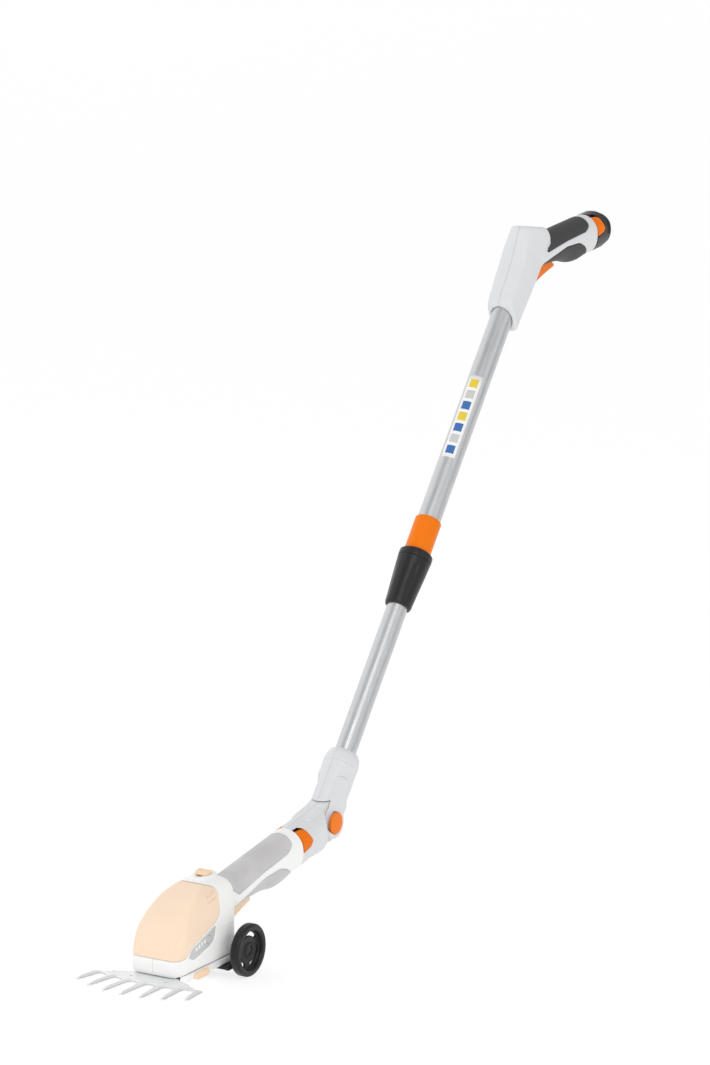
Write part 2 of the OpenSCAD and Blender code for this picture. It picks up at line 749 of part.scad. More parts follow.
wheel_left();
wheel_right();
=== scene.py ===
"""Blender scene for a pole hedge trimmer: detailed moulded pieces, materials, light and camera
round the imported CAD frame."""

import json
import math

import bpy
import numpy as np
from mathutils import Matrix, Vector


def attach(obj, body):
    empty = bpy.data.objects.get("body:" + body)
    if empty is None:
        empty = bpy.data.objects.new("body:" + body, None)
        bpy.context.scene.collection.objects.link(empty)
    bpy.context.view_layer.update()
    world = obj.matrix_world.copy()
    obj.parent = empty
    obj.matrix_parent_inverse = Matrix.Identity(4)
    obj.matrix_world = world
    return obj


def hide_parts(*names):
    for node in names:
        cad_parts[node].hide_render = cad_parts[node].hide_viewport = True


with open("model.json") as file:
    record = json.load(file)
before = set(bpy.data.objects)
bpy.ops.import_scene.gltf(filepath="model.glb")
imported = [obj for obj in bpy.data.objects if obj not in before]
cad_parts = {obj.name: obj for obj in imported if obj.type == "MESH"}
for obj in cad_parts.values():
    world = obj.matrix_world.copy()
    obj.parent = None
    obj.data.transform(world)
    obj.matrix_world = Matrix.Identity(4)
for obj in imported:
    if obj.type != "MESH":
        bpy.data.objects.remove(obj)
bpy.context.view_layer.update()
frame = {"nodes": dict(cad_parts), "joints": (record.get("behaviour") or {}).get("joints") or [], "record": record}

MM = 0.001
COARSE = 1.0
joint = {j["name"]: j for j in frame["joints"]}

# ---------------------------------------------------------------- places, from the frame's joints


def unit_axis(name, sign=1):
    return sign * Vector(joint[name]["axis"]).normalized()


def placed(origin, along_y):
    """A placement in millimetres whose own Y runs along along_y, and whose own X is the tool's X."""
    y = along_y.normalized()
    x = Vector((1, 0, 0))
    turn = Matrix((x, y, x.cross(y))).transposed().to_4x4()
    return Matrix.Translation(origin) @ turn @ Matrix.Scale(MM, 4)


PIVOT_Y, PIVOT_Z = -102.0, -13.5  # trigger's hinge in a grip's own frame
GRIP_REACH = 71.6  # from the shear grip's ring to the knuckle's pin
wheel_axle_y = joint["wheel_left_spin"]["pos_m"][1]
knuckle = Vector(joint["head_angle"]["pos_m"])
pole_up = unit_axis("pole_extend", -1)
HEAD = Matrix.Translation((0, wheel_axle_y, 0)) @ Matrix.Scale(MM, 4)


def grip_place(trigger_joint, outward):
    turned = placed(Vector((0, 0, 0)), outward)
    pivot = Vector(joint[trigger_joint]["pos_m"])
    return Matrix.Translation(pivot - turned @ Vector((0, PIVOT_Y, PIVOT_Z))) @ turned


HANDLE_GRIP = grip_place("handle_trigger_pull", unit_axis("battery_slide"))
SHEAR_GRIP = grip_place("shear_trigger_pull", unit_axis("head_release", -1))
# The pole's own frame: origin on the knuckle's pin, Z up the pole, -Y to the front.
POLE = placed(knuckle, Vector((0, pole_up.z, -pole_up.y)))


def turned_into(point_frame, shape_frame):
    """Cosine, sine and shift that take (y, z) of point_frame into shape_frame; both share X."""
    m = shape_frame.inverted() @ point_frame
    return m[1][1], m[2][1], m[1][3], m[2][3]


def seen_from(point_frame, shape_frame, shape):
    """shape, written in shape_frame, as a function of point_frame's coordinates."""
    c, s, dy, dz = turned_into(point_frame, shape_frame)
    return lambda x, y, z: shape(x, c * y - s * z + dy, s * y + c * z + dz)


# ---------------------------------------------------------------- shapes as signed distances


def low_mix(a, b, k):
    """The smaller of a and b, blended over k."""
    h = np.clip(0.5 + 0.5 * (b - a) / k, 0, 1)
    return b + (a - b) * h - k * h * (1 - h)


def high_mix(a, b, k):
    return -low_mix(-a, -b, k)


def inside_all(k, *parts):
    out = parts[0]
    for part in parts[1:]:
        out = high_mix(out, part, k)
    return out


def cut(shape, tool, k=0.6):
    return high_mix(shape, -tool, k)


def slab(a, low, high):
    return np.maximum(low - a, a - high)


def ring_corner(points, radius, steps=4):
    """A closed outline with its corners turned into curves that start radius away from each corner."""
    out = []
    n = len(points)
    for i in range(n):
        p, here, q = (np.array(points[j % n], float) for j in (i - 1, i, i + 1))
        to_p, to_q = p - here, q - here
        r = min(radius, np.linalg.norm(to_p) * 0.45, np.linalg.norm(to_q) * 0.45)
        a = here + to_p / np.linalg.norm(to_p) * r
        b = here + to_q / np.linalg.norm(to_q) * r
        for t in np.linspace(0, 1, steps + 1):
            out.append(tuple((1 - t) ** 2 * a + 2 * t * (1 - t) * here + t * t * b))
    return out


def outline(points, a, b):
    """Signed distance from (a, b) to a closed outline."""
    shape = np.broadcast(a, b).shape
    best = np.full(shape, 1e9)
    inside = np.zeros(shape, bool)
    for i, (x1, y1) in enumerate(points):
        x0, y0 = points[i - 1]
        ex, ey = x1 - x0, y1 - y0
        wx, wy = a - x0, b - y0
        t = np.clip((wx * ex + wy * ey) / (ex * ex + ey * ey + 1e-12), 0, 1)
        best = np.minimum(best, (wx - ex * t) ** 2 + (wy - ey * t) ** 2)
        side = ex * wy - ey * wx
        inside ^= ((y0 <= b) & (y1 > b) & (side > 0)) | ((y0 > b) & (y1 <= b) & (side < 0))
    return np.where(inside, -1.0, 1.0) * np.sqrt(best)


def oval(x, z, half, up, down, power=2.35):
    """A distance-like measure to an oval with its own half width, height and depth; squarer below."""
    height = np.where(z > 0, up, down)
    bend = np.where(z > 0, 2.0, power)
    r = (np.abs(x / half) ** bend + np.abs(z / height) ** bend + 1e-9) ** (1 / bend)
    return (r - 1) * np.minimum(half, height)


def profile(at, knots, values):
    """A smooth curve through values at knots, level outside them."""
    knots, values = np.array(knots, float), np.array(values, float)
    slopes = np.gradient(values, knots)
    at = np.clip(at, knots[0], knots[-1])
    i = np.clip(np.searchsorted(knots, at) - 1, 0, len(knots) - 2)
    span = knots[i + 1] - knots[i]
    t = (at - knots[i]) / span
    return (values[i] * (1 + 2 * t) * (1 - t) ** 2 + values[i + 1] * t * t * (3 - 2 * t)
            + span * (slopes[i] * t * (1 - t) ** 2 - slopes[i + 1] * t * t * (1 - t)))


def rod(a, b, radius):
    return np.sqrt(a * a + b * b) - radius


def with_screw_holes(shape, places, radius):
    """A shell half with holes along X at places (y, z), each down to its own seat."""
    def drilled(x, y, z):
        out = shape(x, y, z)
        for py, pz, seat in places:
            out = cut(out, np.maximum(rod(y - py, z - pz, radius), seat - x), 0.4)
        return out
    return drilled


# ---------------------------------------------------------------- turning a shape into a mesh


def settle(shape, points, reach):
    """Moves points onto the shape's surface, by at most reach in each step."""
    e = 0.04
    for _ in range(3):
        x, y, z = points.T
        d = shape(x, y, z)
        slope = np.stack([shape(x + e, y, z) - shape(x - e, y, z),
                          shape(x, y + e, z) - shape(x, y - e, z),
                          shape(x, y, z + e) - shape(x, y, z - e)], 1) / (2 * e)
        size = np.maximum((slope ** 2).sum(1), 0.05)
        step = (d / size)[:, None] * slope
        length = np.linalg.norm(step, axis=1)[:, None]
        points = points - step * np.minimum(1, reach / np.maximum(length, 1e-9))
    return points


def skin(shape, low, high, cell):
    """Vertices and quads on the surface where shape is zero, one vertex in each cell that it crosses."""
    axes = [np.arange(low[i], high[i] + cell, cell) for i in range(3)]
    x, y, z = np.meshgrid(*axes, indexing="ij", sparse=True)
    value = np.broadcast_to(shape(x, y, z), [len(a) for a in axes]).astype(np.float32)
    inside = value < 0
    near = [slice(None, -1), slice(1, None)]
    corners = [(i, j, k) for i in (0, 1) for j in (0, 1) for k in (0, 1)]
    count = sum(inside[near[i], near[j], near[k]].astype(np.int8) for i, j, k in corners)
    active = (count > 0) & (count < 8)
    number = np.full(active.shape, -1, np.int64)
    number[active] = np.arange(active.sum())
    cells = np.argwhere(active)
    total, hits = np.zeros((len(cells), 3)), np.zeros(len(cells))
    for c0 in corners:
        for axis in range(3):
            if c0[axis]:
                continue
            c1 = tuple(v + (n == axis) for n, v in enumerate(c0))
            v0, v1 = value[tuple((cells + c0).T)], value[tuple((cells + c1).T)]
            crossed = (v0 < 0) != (v1 < 0)
            t = np.where(crossed, v0 / np.where(crossed, v0 - v1, 1), 0)
            where = np.array(c0, float) + np.eye(3)[axis] * t[:, None]
            total += where * crossed[:, None]
            hits += crossed
    points = np.array(low, float) + (cells + total / hits[:, None]) * cell
    quads = []
    for axis in range(3):
        u, w = (axis + 1) % 3, (axis + 2) % 3
        a, b = [slice(None)] * 3, [slice(None)] * 3
        a[axis], b[axis] = near
        edge = np.argwhere(inside[tuple(a)] != inside[tuple(b)])
        edge = edge[(edge[:, u] > 0) & (edge[:, w] > 0)
                    & (edge[:, u] < inside.shape[u] - 1) & (edge[:, w] < inside.shape[w] - 1)]
        starts_inside = inside[tuple(edge.T)]
        loop = []
        for du, dw in ((1, 1), (0, 1), (0, 0), (1, 0)):
            at = edge.copy()
            at[:, u] -= du
            at[:, w] -= dw
            loop.append(number[tuple(at.T)])
        loop = np.stack(loop, 1)
        loop[~starts_inside] = loop[~starts_inside][:, ::-1]
        quads.append(loop)
    return settle(shape, points, cell * 0.5), np.concatenate(quads)


def mesh_piece(name, points, faces, place, mirrored=False):
    mesh = bpy.data.meshes.new(name)
    if mirrored:
        points = points * np.array([-1.0, 1.0, 1.0])
        faces = faces[:, ::-1]
    m = np.array(place)
    points = points @ m[:3, :3].T + m[:3, 3]
    mesh.from_pydata(points.tolist(), [], faces.tolist())
    mesh.polygons.foreach_set("use_smooth", np.ones(len(mesh.polygons), bool))
    mesh.update()
    piece = bpy.data.objects.new(name, mesh)
    bpy.context.scene.collection.objects.link(piece)
    return piece


def finish_piece(piece, material, body, replaced):
    piece.data.materials.append(material)
    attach(piece, body)
    if replaced:
        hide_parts(*replaced)
    return piece


def moulded(name, shape, low, high, cell, place, material, body, *replaced, twin=None, mirrored=False):
    """A piece from a shape. twin is its mirror image across the tool: a name, a body, replaced nodes."""
    points, faces = skin(shape, low, high, cell * COARSE)
    made = [finish_piece(mesh_piece(name, points, faces, place, mirrored), material, body, replaced)]
    if twin:
        other, other_body, other_replaced = twin
        made.append(finish_piece(mesh_piece(other, points, faces, place, True), material,
                                 other_body, other_replaced))
    return made


# ---------------------------------------------------------------- materials


def node_material(name, slot):
    m = bpy.data.materials.new(name)
    m.use_nodes = True
    m["slot"] = slot
    return m, m.node_tree.nodes, m.node_tree.links, m.node_tree.nodes["Principled BSDF"]


def object_noise(nodes, links, scale, detail=3.0, stretch=(1, 1, 1)):
    """Noise in the object's own metres, stretched along an axis where stretch is small."""
    where = nodes.new("ShaderNodeTexCoord")
    mapping = nodes.new("ShaderNodeMapping")
    mapping.inputs["Scale"].default_value = stretch
    noise = nodes.new("ShaderNodeTexNoise")
    noise.inputs["Scale"].default_value = scale
    noise.inputs["Detail"].default_value = detail
    links.new(where.outputs["Object"], mapping.inputs["Vector"])
    links.new(mapping.outputs["Vector"], noise.inputs["Vector"])
    return noise


def ramped(nodes, links, source, low, high, out_low, out_high):
    span = nodes.new("ShaderNodeMapRange")
    for socket, value in zip(("From Min", "From Max", "To Min", "To Max"), (low, high, out_low, out_high)):
        span.inputs[socket].default_value = value
    links.new(source, span.inputs["Value"])
    return span.outputs["Result"]


def tinted(nodes, links, source, dark, light, low=0.35, high=0.65):
    ramp = nodes.new("ShaderNodeValToRGB")
    ramp.color_ramp.elements[0].position = low
    ramp.color_ramp.elements[0].color = (*dark, 1)
    ramp.color_ramp.elements[1].position = high
    ramp.color_ramp.elements[1].color = (*light, 1)
    links.new(source, ramp.inputs["Fac"])
    return ramp.outputs["Color"]


def bumped(nodes, links, height, strength, distance, after=None):
    bump = nodes.new("ShaderNodeBump")
    bump.inputs["Strength"].default_value = strength
    bump.inputs["Distance"].default_value = distance
    links.new(height, bump.inputs["Height"])
    if after:
        links.new(after, bump.inputs["Normal"])
    return bump.outputs["Normal"]


def linear(r, g, b):
    """A colour given as 0 to 255 on screen, as the shader's linear values."""
    return tuple(((v / 255 + 0.055) / 1.055) ** 2.4 if v > 10 else v / 255 / 12.92 for v in (r, g, b))


def plastic(name, slot, colour, rough, grain=900.0, depth=0.00008, grime=0.03, spread=0.08, shine=0.45):
    """Moulded plastic: fine spark-eroded grain, slow colour drift and scuffs in its gloss."""
    m, nodes, links, shader = node_material(name, slot)
    base = linear(*colour)
    dark = tuple(c * (1 - grime) for c in base)
    drift = object_noise(nodes, links, 14.0, 4.0)
    links.new(tinted(nodes, links, drift.outputs["Fac"], dark, base), shader.inputs["Base Color"])
    scuff = object_noise(nodes, links, 60.0, 6.0, (1, 0.5, 1))
    links.new(ramped(nodes, links, scuff.outputs["Fac"], 0.35, 0.7, rough - spread / 2, rough + spread),
              shader.inputs["Roughness"])
    texture = object_noise(nodes, links, grain, 2.0)
    links.new(bumped(nodes, links, texture.outputs["Fac"], 0.35, depth), shader.inputs["Normal"])
    shader.inputs["Specular IOR Level"].default_value = shine
    return m


def soft_touch(name, slot, colour, rough):
    """Rubber overmould: small round pimples over a fine grain."""
    m, nodes, links, shader = node_material(name, slot)
    base = linear(*colour)
    drift = object_noise(nodes, links, 25.0, 4.0)
    links.new(tinted(nodes, links, drift.outputs["Fac"], tuple(c * 0.86 for c in base), base),
              shader.inputs["Base Color"])
    where = nodes.new("ShaderNodeTexCoord")
    dots = nodes.new("ShaderNodeTexVoronoi")
    dots.inputs["Scale"].default_value = 620.0
    dots.inputs["Randomness"].default_value = 0.25
    links.new(where.outputs["Object"], dots.inputs["Vector"])
    round_dots = ramped(nodes, links, dots.outputs["Distance"], 0.25, 0.55, 1.0, 0.0)
    texture = object_noise(nodes, links, 1500.0, 2.0)
    fine = bumped(nodes, links, texture.outputs["Fac"], 0.3, 0.00005)
    links.new(bumped(nodes, links, round_dots, 0.5, 0.00018, fine), shader.inputs["Normal"])
    links.new(ramped(nodes, links, drift.outputs["Fac"], 0.3, 0.7, rough, rough + 0.12),
              shader.inputs["Roughness"])
    shader.inputs["Specular IOR Level"].default_value = 0.35
    return m


def brushed(name, slot, colour, rough, stretch, scale=2500.0, metallic=1.0, grain=0.12):
    """Metal with drawn or ground lines; stretch is small along the lines."""
    m, nodes, links, shader = node_material(name, slot)
    base = linear(*colour)
    lines = object_noise(nodes, links, scale, 3.0, stretch)
    links.new(tinted(nodes, links, lines.outputs["Fac"], tuple(c * (1 - grain) for c in base), base, 0.3, 0.7),
              shader.inputs["Base Color"])
    cloud = object_noise(nodes, links, 30.0, 4.0)
    links.new(ramped(nodes, links, cloud.outputs["Fac"], 0.3, 0.7, rough - 0.04, rough + 0.08),
              shader.inputs["Roughness"])
    links.new(bumped(nodes, links, lines.outputs["Fac"], 0.2, 0.00002), shader.inputs["Normal"])
    shader.inputs["Metallic"].default_value = metallic
    return m


shaft_shell = plastic("Shaft shell plastic", "shaft_shell", (224, 225, 227), 0.42)
head_shell = plastic("Head shell plastic", "head_shell", (250, 250, 249), 0.45, grime=0.02)
head_cover = plastic("Head cover plastic", "head_cover", (252, 226, 200), 0.4, grime=0.03)
orange_trim = plastic("Orange plastic", "orange_trim", (248, 124, 0), 0.36, grime=0.06, shine=0.18)
pale_trim = plastic("Pale orange plastic", "pale_trim", (252, 220, 186), 0.38)
black_plastic = plastic("Black plastic", "black_plastic", (38, 38, 39), 0.32, grime=0.2, shine=0.3)
wheel_black = plastic("Wheel plastic", "wheel_black", (32, 32, 33), 0.4, grime=0.25, spread=0.14, shine=0.3)
panel_grey = plastic("Panel plastic", "panel", (206, 205, 205), 0.3)
display_white = plastic("Display lens", "display", (250, 250, 250), 0.15, depth=0.00001)
board_green = plastic("Board lacquer", "board", (30, 96, 58), 0.35)
dark_grip = soft_touch("Dark grip rubber", "dark_grip", (66, 66, 67), 0.55)
pale_grip = soft_touch("Pale grip rubber", "pale_grip", (212, 210, 211), 0.6)
# The tubes slope in Y and Z, so their drawn lines are long in both.
tube_metal = brushed("Anodised tube", "tube", (205, 206, 208), 0.34, (1, 0.03, 0.03), 1600.0, 0.85)
steel = brushed("Machined steel", "steel", (176, 177, 180), 0.3, (1, 0.2, 1))
blade_metal = brushed("Ground blade steel", "blade_steel", (244, 245, 246), 0.3, (1, 0.04, 1), 2200.0, 0.3)
brass = brushed("Contact brass", "contact_brass", (214, 180, 104), 0.3, (1, 1, 0.2))
label_white = plastic("Label film", "display", (248, 248, 246), 0.3, depth=0.00001)
label_ink = [plastic(f"Label ink {i}", "display", c, 0.35, depth=0.00001)
             for i, c in enumerate([(236, 206, 60), (60, 112, 180), (206, 206, 206)])]

SLOT_MATERIAL = {m["slot"]: m for m in (
    shaft_shell, head_shell, head_cover, orange_trim, pale_trim, black_plastic, wheel_black, panel_grey,
    board_green, dark_grip, pale_grip, tube_metal, steel, blade_metal, brass, display_white)}


def dress_frame():
    """Gives every CAD node the finish of its slot, with flat faces."""
    for part in frame["record"]["subparts"]:
        node = frame["nodes"][part["node"]]
        node.data.materials.clear()
        node.data.materials.append(SLOT_MATERIAL[part["material_slot"]])
        node.data.polygons.foreach_set("use_smooth", np.zeros(len(node.data.polygons), bool))


dress_frame()

# ---------------------------------------------------------------- grip unit, the same on pole and shear

GRIP_LENGTH = 160.0
UNDERSIDE_Y = [-190, -150, -125, -100, -75, -55, -38, -24, 0]
UNDERSIDE_Z = [15, 15.6, 16.6, 18.6, 22.6, 28.6, 29.6, 28.0, 28.0]
UPPER_PAD = ring_corner([(-134, 1.5), (-80, 5), (-30, 6), (-17, 11), (-7.5, 40), (-70, 40), (-149, 17)], 4)
LOWER_PAD = ring_corner([(-146, -13), (-126, -8), (-84, -2), (-50, -4), (-34, -12), (-17, -26), (-14, -50),
                         (-148, -50)], 6)
CAVITY_INSET = 5.4


def grip_skin(x, y, z, inset=0.0):
    down = profile(y, UNDERSIDE_Y, UNDERSIDE_Z)
    waist = profile(y, [-160, -110, -60, -10, 0], [21.4, 20.6, 21.0, 21.4, 21.4])
    return oval(x, z, waist - inset, 21.4 - inset, down - inset)


def grip_solid(x, y, z, front=-GRIP_LENGTH):
    return inside_all(2.0, grip_skin(x, y, z), slab(y, front, -0.05))


def grip_hollow(x, y, z, front=-GRIP_LENGTH + 4):
    return np.maximum(grip_skin(x, y, z, CAVITY_INSET), slab(y, front, 5))


def pad_zones(y, z):
    return np.minimum(outline(UPPER_PAD, y, z), outline(LOWER_PAD, y, z))


def trigger_slot(x, y, z):
    return inside_all(0.5, np.abs(x) - 7.5, slab(y, -148, -96), slab(z, -60, -3))


def with_grip_cuts(shape, x, y, z, front=-GRIP_LENGTH + 4):
    """Takes the pads' beds, the trigger's slot and the socket out of a shell."""
    bed = np.maximum(pad_zones(y, z) - 0.28, -grip_skin(x, y, z, 2.5))
    bed = np.maximum(bed, grip_skin(x, y, z, -0.25))
    shape = cut(shape, bed, 0.5)
    shape = cut(shape, trigger_slot(x, y, z), 0.8)
    return cut(shape, grip_hollow(x, y, z, front), 1.2)


def pad_shape(zone, slotted):
    def shape(x, y, z):
        layer = np.maximum(grip_skin(x, y, z, -0.15), -grip_skin(x, y, z, 2.4))
        out = inside_all(1.2, layer, outline(zone, y, z))
        return cut(out, trigger_slot(x, y, z), 0.8) if slotted else out
    return shape


TRIGGER_SIDE = ring_corner([(-148, -32), (-145, -34.5), (-95, -25), (-94.5, -21.5), (-99.5, -19), (-99.5, -11),
                            (-127, -11), (-134, -16)], 2.2)
FINGER_R = 271.0  # the long shallow curve under the finger


def trigger_shape(x, y, z):
    finger_hollow = rod(y + 69.5, z + 294.8, FINGER_R)
    body = inside_all(2.2, outline(TRIGGER_SIDE, y, z), np.abs(x) - 7.0)
    return cut(body, np.maximum(finger_hollow, np.abs(x) - 20), 1.0)


def make_grip(place, body, prefix, trigger, rubber, trigger_colour):
    width, top = 23.0, 23.0
    moulded(prefix + "_grip_pad", pad_shape(UPPER_PAD, False), (-width, -151, -2), (width, -5, top), 0.9,
            place, rubber, body, prefix + "_grip_pad")
    moulded(prefix + "_lower_pad", pad_shape(LOWER_PAD, True), (-width, -151, -32), (width, -13, 2), 0.9,
            place, rubber, body, prefix + "_lower_pad")
    moulded(trigger, trigger_shape, (-8.5, -149.5, -36), (8.5, -93, -8), 0.6, place, trigger_colour,
            trigger, trigger)


make_grip(HANDLE_GRIP, "handle", "handle", "handle_trigger", dark_grip, orange_trim)
make_grip(SHEAR_GRIP, "shear", "shear", "shear_trigger", pale_grip, pale_trim)

# ---------------------------------------------------------------- pole handle housing

HOUSING_SIDE = ring_corner([(-168, 41.5), (-134, 33.5), (-123, 20), (-118, 9), (-118, -12), (-144, -17),
                            (-152, -24), (-210.5, -81), (-220, -78.5), (-232, -41), (-193, 1)], 7)
TUBE_R = 14.0
HOUSING_WALL = 2.6
HANDLE_HEIGHT = 771  # along is measured from this height over the knuckle's pin
TUBE_TOP = 745 - HANDLE_HEIGHT
HOUSING_MOUTH = -69.5  # along, where the tube enters the housing
handle_to_pole = turned_into(HANDLE_GRIP, POLE)


def pole_axis_view(x, y, z):
    """Distance in front of the pole's axis and height along it, for a point of the handle's grip frame."""
    c, s, dy, dz = handle_to_pole
    return -(c * y - s * z + dy), s * y + c * z + dz - HANDLE_HEIGHT


def housing_solid(x, y, z, inset=0.0):
    ahead, along = pole_axis_view(x, y, z)
    half = profile(along, [-75, -40, 10, 60], [18.2, 20.4, 21.6, 21.0])
    section = oval(x, ahead - 4, half - inset, 31 - inset, 30 - inset, 2.9)
    return high_mix(outline(HOUSING_SIDE, y, z) + inset, section, 5.0)


def handle_half(x, y, z):
    ahead, along = pole_axis_view(x, y, z)
    housing = housing_solid(x, y, z)
    shape = low_mix(housing, grip_solid(x, y, z, -150), 3.0)
    shape = cut(shape, np.maximum(housing_solid(x, y, z, HOUSING_WALL), -14 - along), 1.0)
    shape = with_grip_cuts(shape, x, y, z)
    shape = cut(shape, np.maximum(rod(x, ahead, TUBE_R + 0.02), along - TUBE_TOP), 0.5)
    mouth = np.maximum(rod(x, ahead, TUBE_R + 0.35), along - HOUSING_MOUTH)
    return inside_all(0.4, cut(shape, mouth, 0.5), 0.06 - x)


HANDLE_SCREWS = [(-202.5, -66.6, 14.4), (-176, 14, 14.4), (-146, 22, 14.4)]
HANDLE_BOUNDS = (-1, -236, -86), (24, 2, 46)
moulded("handle_shell_left", handle_half, *HANDLE_BOUNDS, 0.9, HANDLE_GRIP, shaft_shell, "handle",
        "handle_shell_left")
moulded("handle_shell_right", with_screw_holes(handle_half, HANDLE_SCREWS, 2.7), *HANDLE_BOUNDS, 0.9,
        HANDLE_GRIP, shaft_shell, "handle", "handle_shell_right", mirrored=True)

# ---------------------------------------------------------------- battery and latches

LATCH_SIDE = ring_corner([(1.3, 17.2), (13.8, 15.8), (20.7, 0), (15.8, -4.3), (1.3, -6.3)], 1.8)
LATCH_BED = [(0.9, 19.4), (9, 19.2), (14.3, 16.5), (21.6, 0), (16.2, -5), (0.9, -7)]
BATTERY_END = ring_corner([(-30, 60), (22, 23.5), (33, 17), (38.5, 6), (41.3, -8), (39.8, -20), (34, -27),
                           (25, -31), (-30, -60)], 6)


def end_oval(x, z, inset=0.0):
    return oval(x, z, 21.3 - inset, 21.3 - inset, 27.9 - inset)


def latch_bed(x, y, z):
    """The pocket that a latch sits in, with room below it for the latch to be pressed in."""
    below = -oval(np.abs(x) + 2.2, z, 17.7, 17.7, 24.2)
    return np.maximum(np.maximum(outline(LATCH_BED, y, z), below), 6.6 - np.abs(x))


def plug_solid(x, y, z, end=1.0):
    body = inside_all(1.5, oval(x, z, 15.2, 15.2, 19.4), slab(y, -56, end))
    key = inside_all(0.4, np.abs(np.abs(x) - 8) - 1.3, slab(y, -60, -20), 14.2 - z)
    return cut(body, key, 0.5)


def battery_shape(x, y, z):
    tub = end_oval(x, z, 1.1 * (y > 26.5))
    case = inside_all(2.6, tub, outline(BATTERY_END, y, z))
    case = inside_all(1.5, case, 0.35 - y)
    rib = np.minimum(np.abs(y - 29.8), np.minimum(np.abs(y - 32.6), np.abs(y - 35.4))) - 0.7
    case = cut(case, inside_all(0.3, rib, slab(z, -9, 8), -end_oval(x, z, 2.3)), 0.4)
    case = cut(case, latch_bed(x, y, z), 0.6)
    return low_mix(case, plug_solid(x, y, z), 0.6)


def latch_shape(x, y, z):
    layer = np.maximum(oval(x, z, 21.8, 21.8, 28.4), -oval(x, z, 17.8, 17.8, 24))
    face = inside_all(0.9, layer, outline(LATCH_SIDE, y, z), 9.2 - x)
    groove = np.abs((y - 9.5) + 0.55 * z) % 3.2 - 0.55
    return cut(face, np.maximum(groove, -oval(x, z, 21.0, 21.0, 27.6)), 0.4)


def make_latches(place, left, right, colour):
    moulded(left, latch_shape, (8, 0, -8), (23, 22.5, 19), 0.45, place, colour, left, left,
            twin=(right, right, (right,)))


moulded("battery_case", battery_shape, (-22.5, -58, -30), (22.5, 47, 23), 0.9, HANDLE_GRIP, black_plastic,
        "battery", "battery_case")
make_latches(HANDLE_GRIP, "battery_latch_left", "battery_latch_right", orange_trim)
make_latches(SHEAR_GRIP, "adapter_latch_left", "adapter_latch_right", orange_trim)

# ---------------------------------------------------------------- collar and twist sleeve on the pole

SLEEVE_FOOT, SLEEVE_TOP = 279.4, 352.4
COLLAR_TOP = 397.9
FLUTE_FROM, FLUTE_TO = SLEEVE_FOOT + 6, SLEEVE_FOOT + 52
SLEEVE_SIDE = ring_corner([(13, SLEEVE_FOOT), (15.2, SLEEVE_FOOT), (16.2, SLEEVE_FOOT + 3),
                           (20.5, SLEEVE_TOP - 8), (20.4, SLEEVE_TOP - 2), (18.6, SLEEVE_TOP),
                           (16.4, SLEEVE_TOP), (16.4, SLEEVE_FOOT + 30), (14.4, SLEEVE_FOOT + 30),
                           (14.4, SLEEVE_FOOT + 5.5), (13, SLEEVE_FOOT + 5.5)], 0.8)
COLLAR_SIDE = ring_corner([(14.05, SLEEVE_TOP - 41), (16.1, SLEEVE_TOP - 41), (16.1, COLLAR_TOP - 1.5),
                           (14.05, COLLAR_TOP)], 1.4)


def sleeve_shape(x, y, z):
    r = np.sqrt(x * x + y * y)
    shape = outline(SLEEVE_SIDE, r, z)
    slope = (z - SLEEVE_FOOT) * 0.062
    for turn in (45, 135, 225, 315):
        a = math.radians(turn)
        across = x * math.sin(a) - y * math.cos(a)
        outward = x * math.cos(a) + y * math.sin(a)
        width = profile(z, [FLUTE_FROM, FLUTE_TO], [5.4, 2.6])
        flute = inside_all(1.2, np.abs(across) - width, 16.1 + slope * 0.82 - outward,
                           slab(z, FLUTE_FROM, FLUTE_TO))
        shape = cut(shape, flute, 1.0)
    lip = np.abs(z - (SLEEVE_TOP - 10)) - 0.45
    return cut(shape, np.maximum(lip, 19.3 - r), 0.5)


def collar_shape(x, y, z):
    r = np.sqrt(x * x + y * y)
    key = inside_all(0.4, np.abs(x) - 2.4, 15.7 - r, slab(z, SLEEVE_TOP + 14, COLLAR_TOP - 8), y)
    return cut(outline(COLLAR_SIDE, r, z), key, 0.3)


moulded("twist_sleeve", sleeve_shape, (-21.5, -21.5, SLEEVE_FOOT - 1), (21.5, 21.5, SLEEVE_TOP + 1), 0.8,
        POLE, black_plastic, "twist_sleeve", "twist_sleeve")
moulded("collar_sleeve", collar_shape, (-17, -17, SLEEVE_TOP - 42), (17, 17, COLLAR_TOP + 1), 0.6,
        POLE, orange_trim, "handle", "collar_sleeve")

# ---------------------------------------------------------------- arm with its fork, on the pole's foot

ARM_TOP = 88.0
TONGUE = 11.6
CHEEK_R, BUTTON_R, PIN_HOLE_R = 18.0, 12.6, 4.0
ARM_FLAT_TURN, ARM_FLAT_TOP = math.radians(58), 44
ARM_SCREWS = [(-15.5, 40, 8.5), (15.5, 40, 8.5), (15.5, 74, 8.5)]


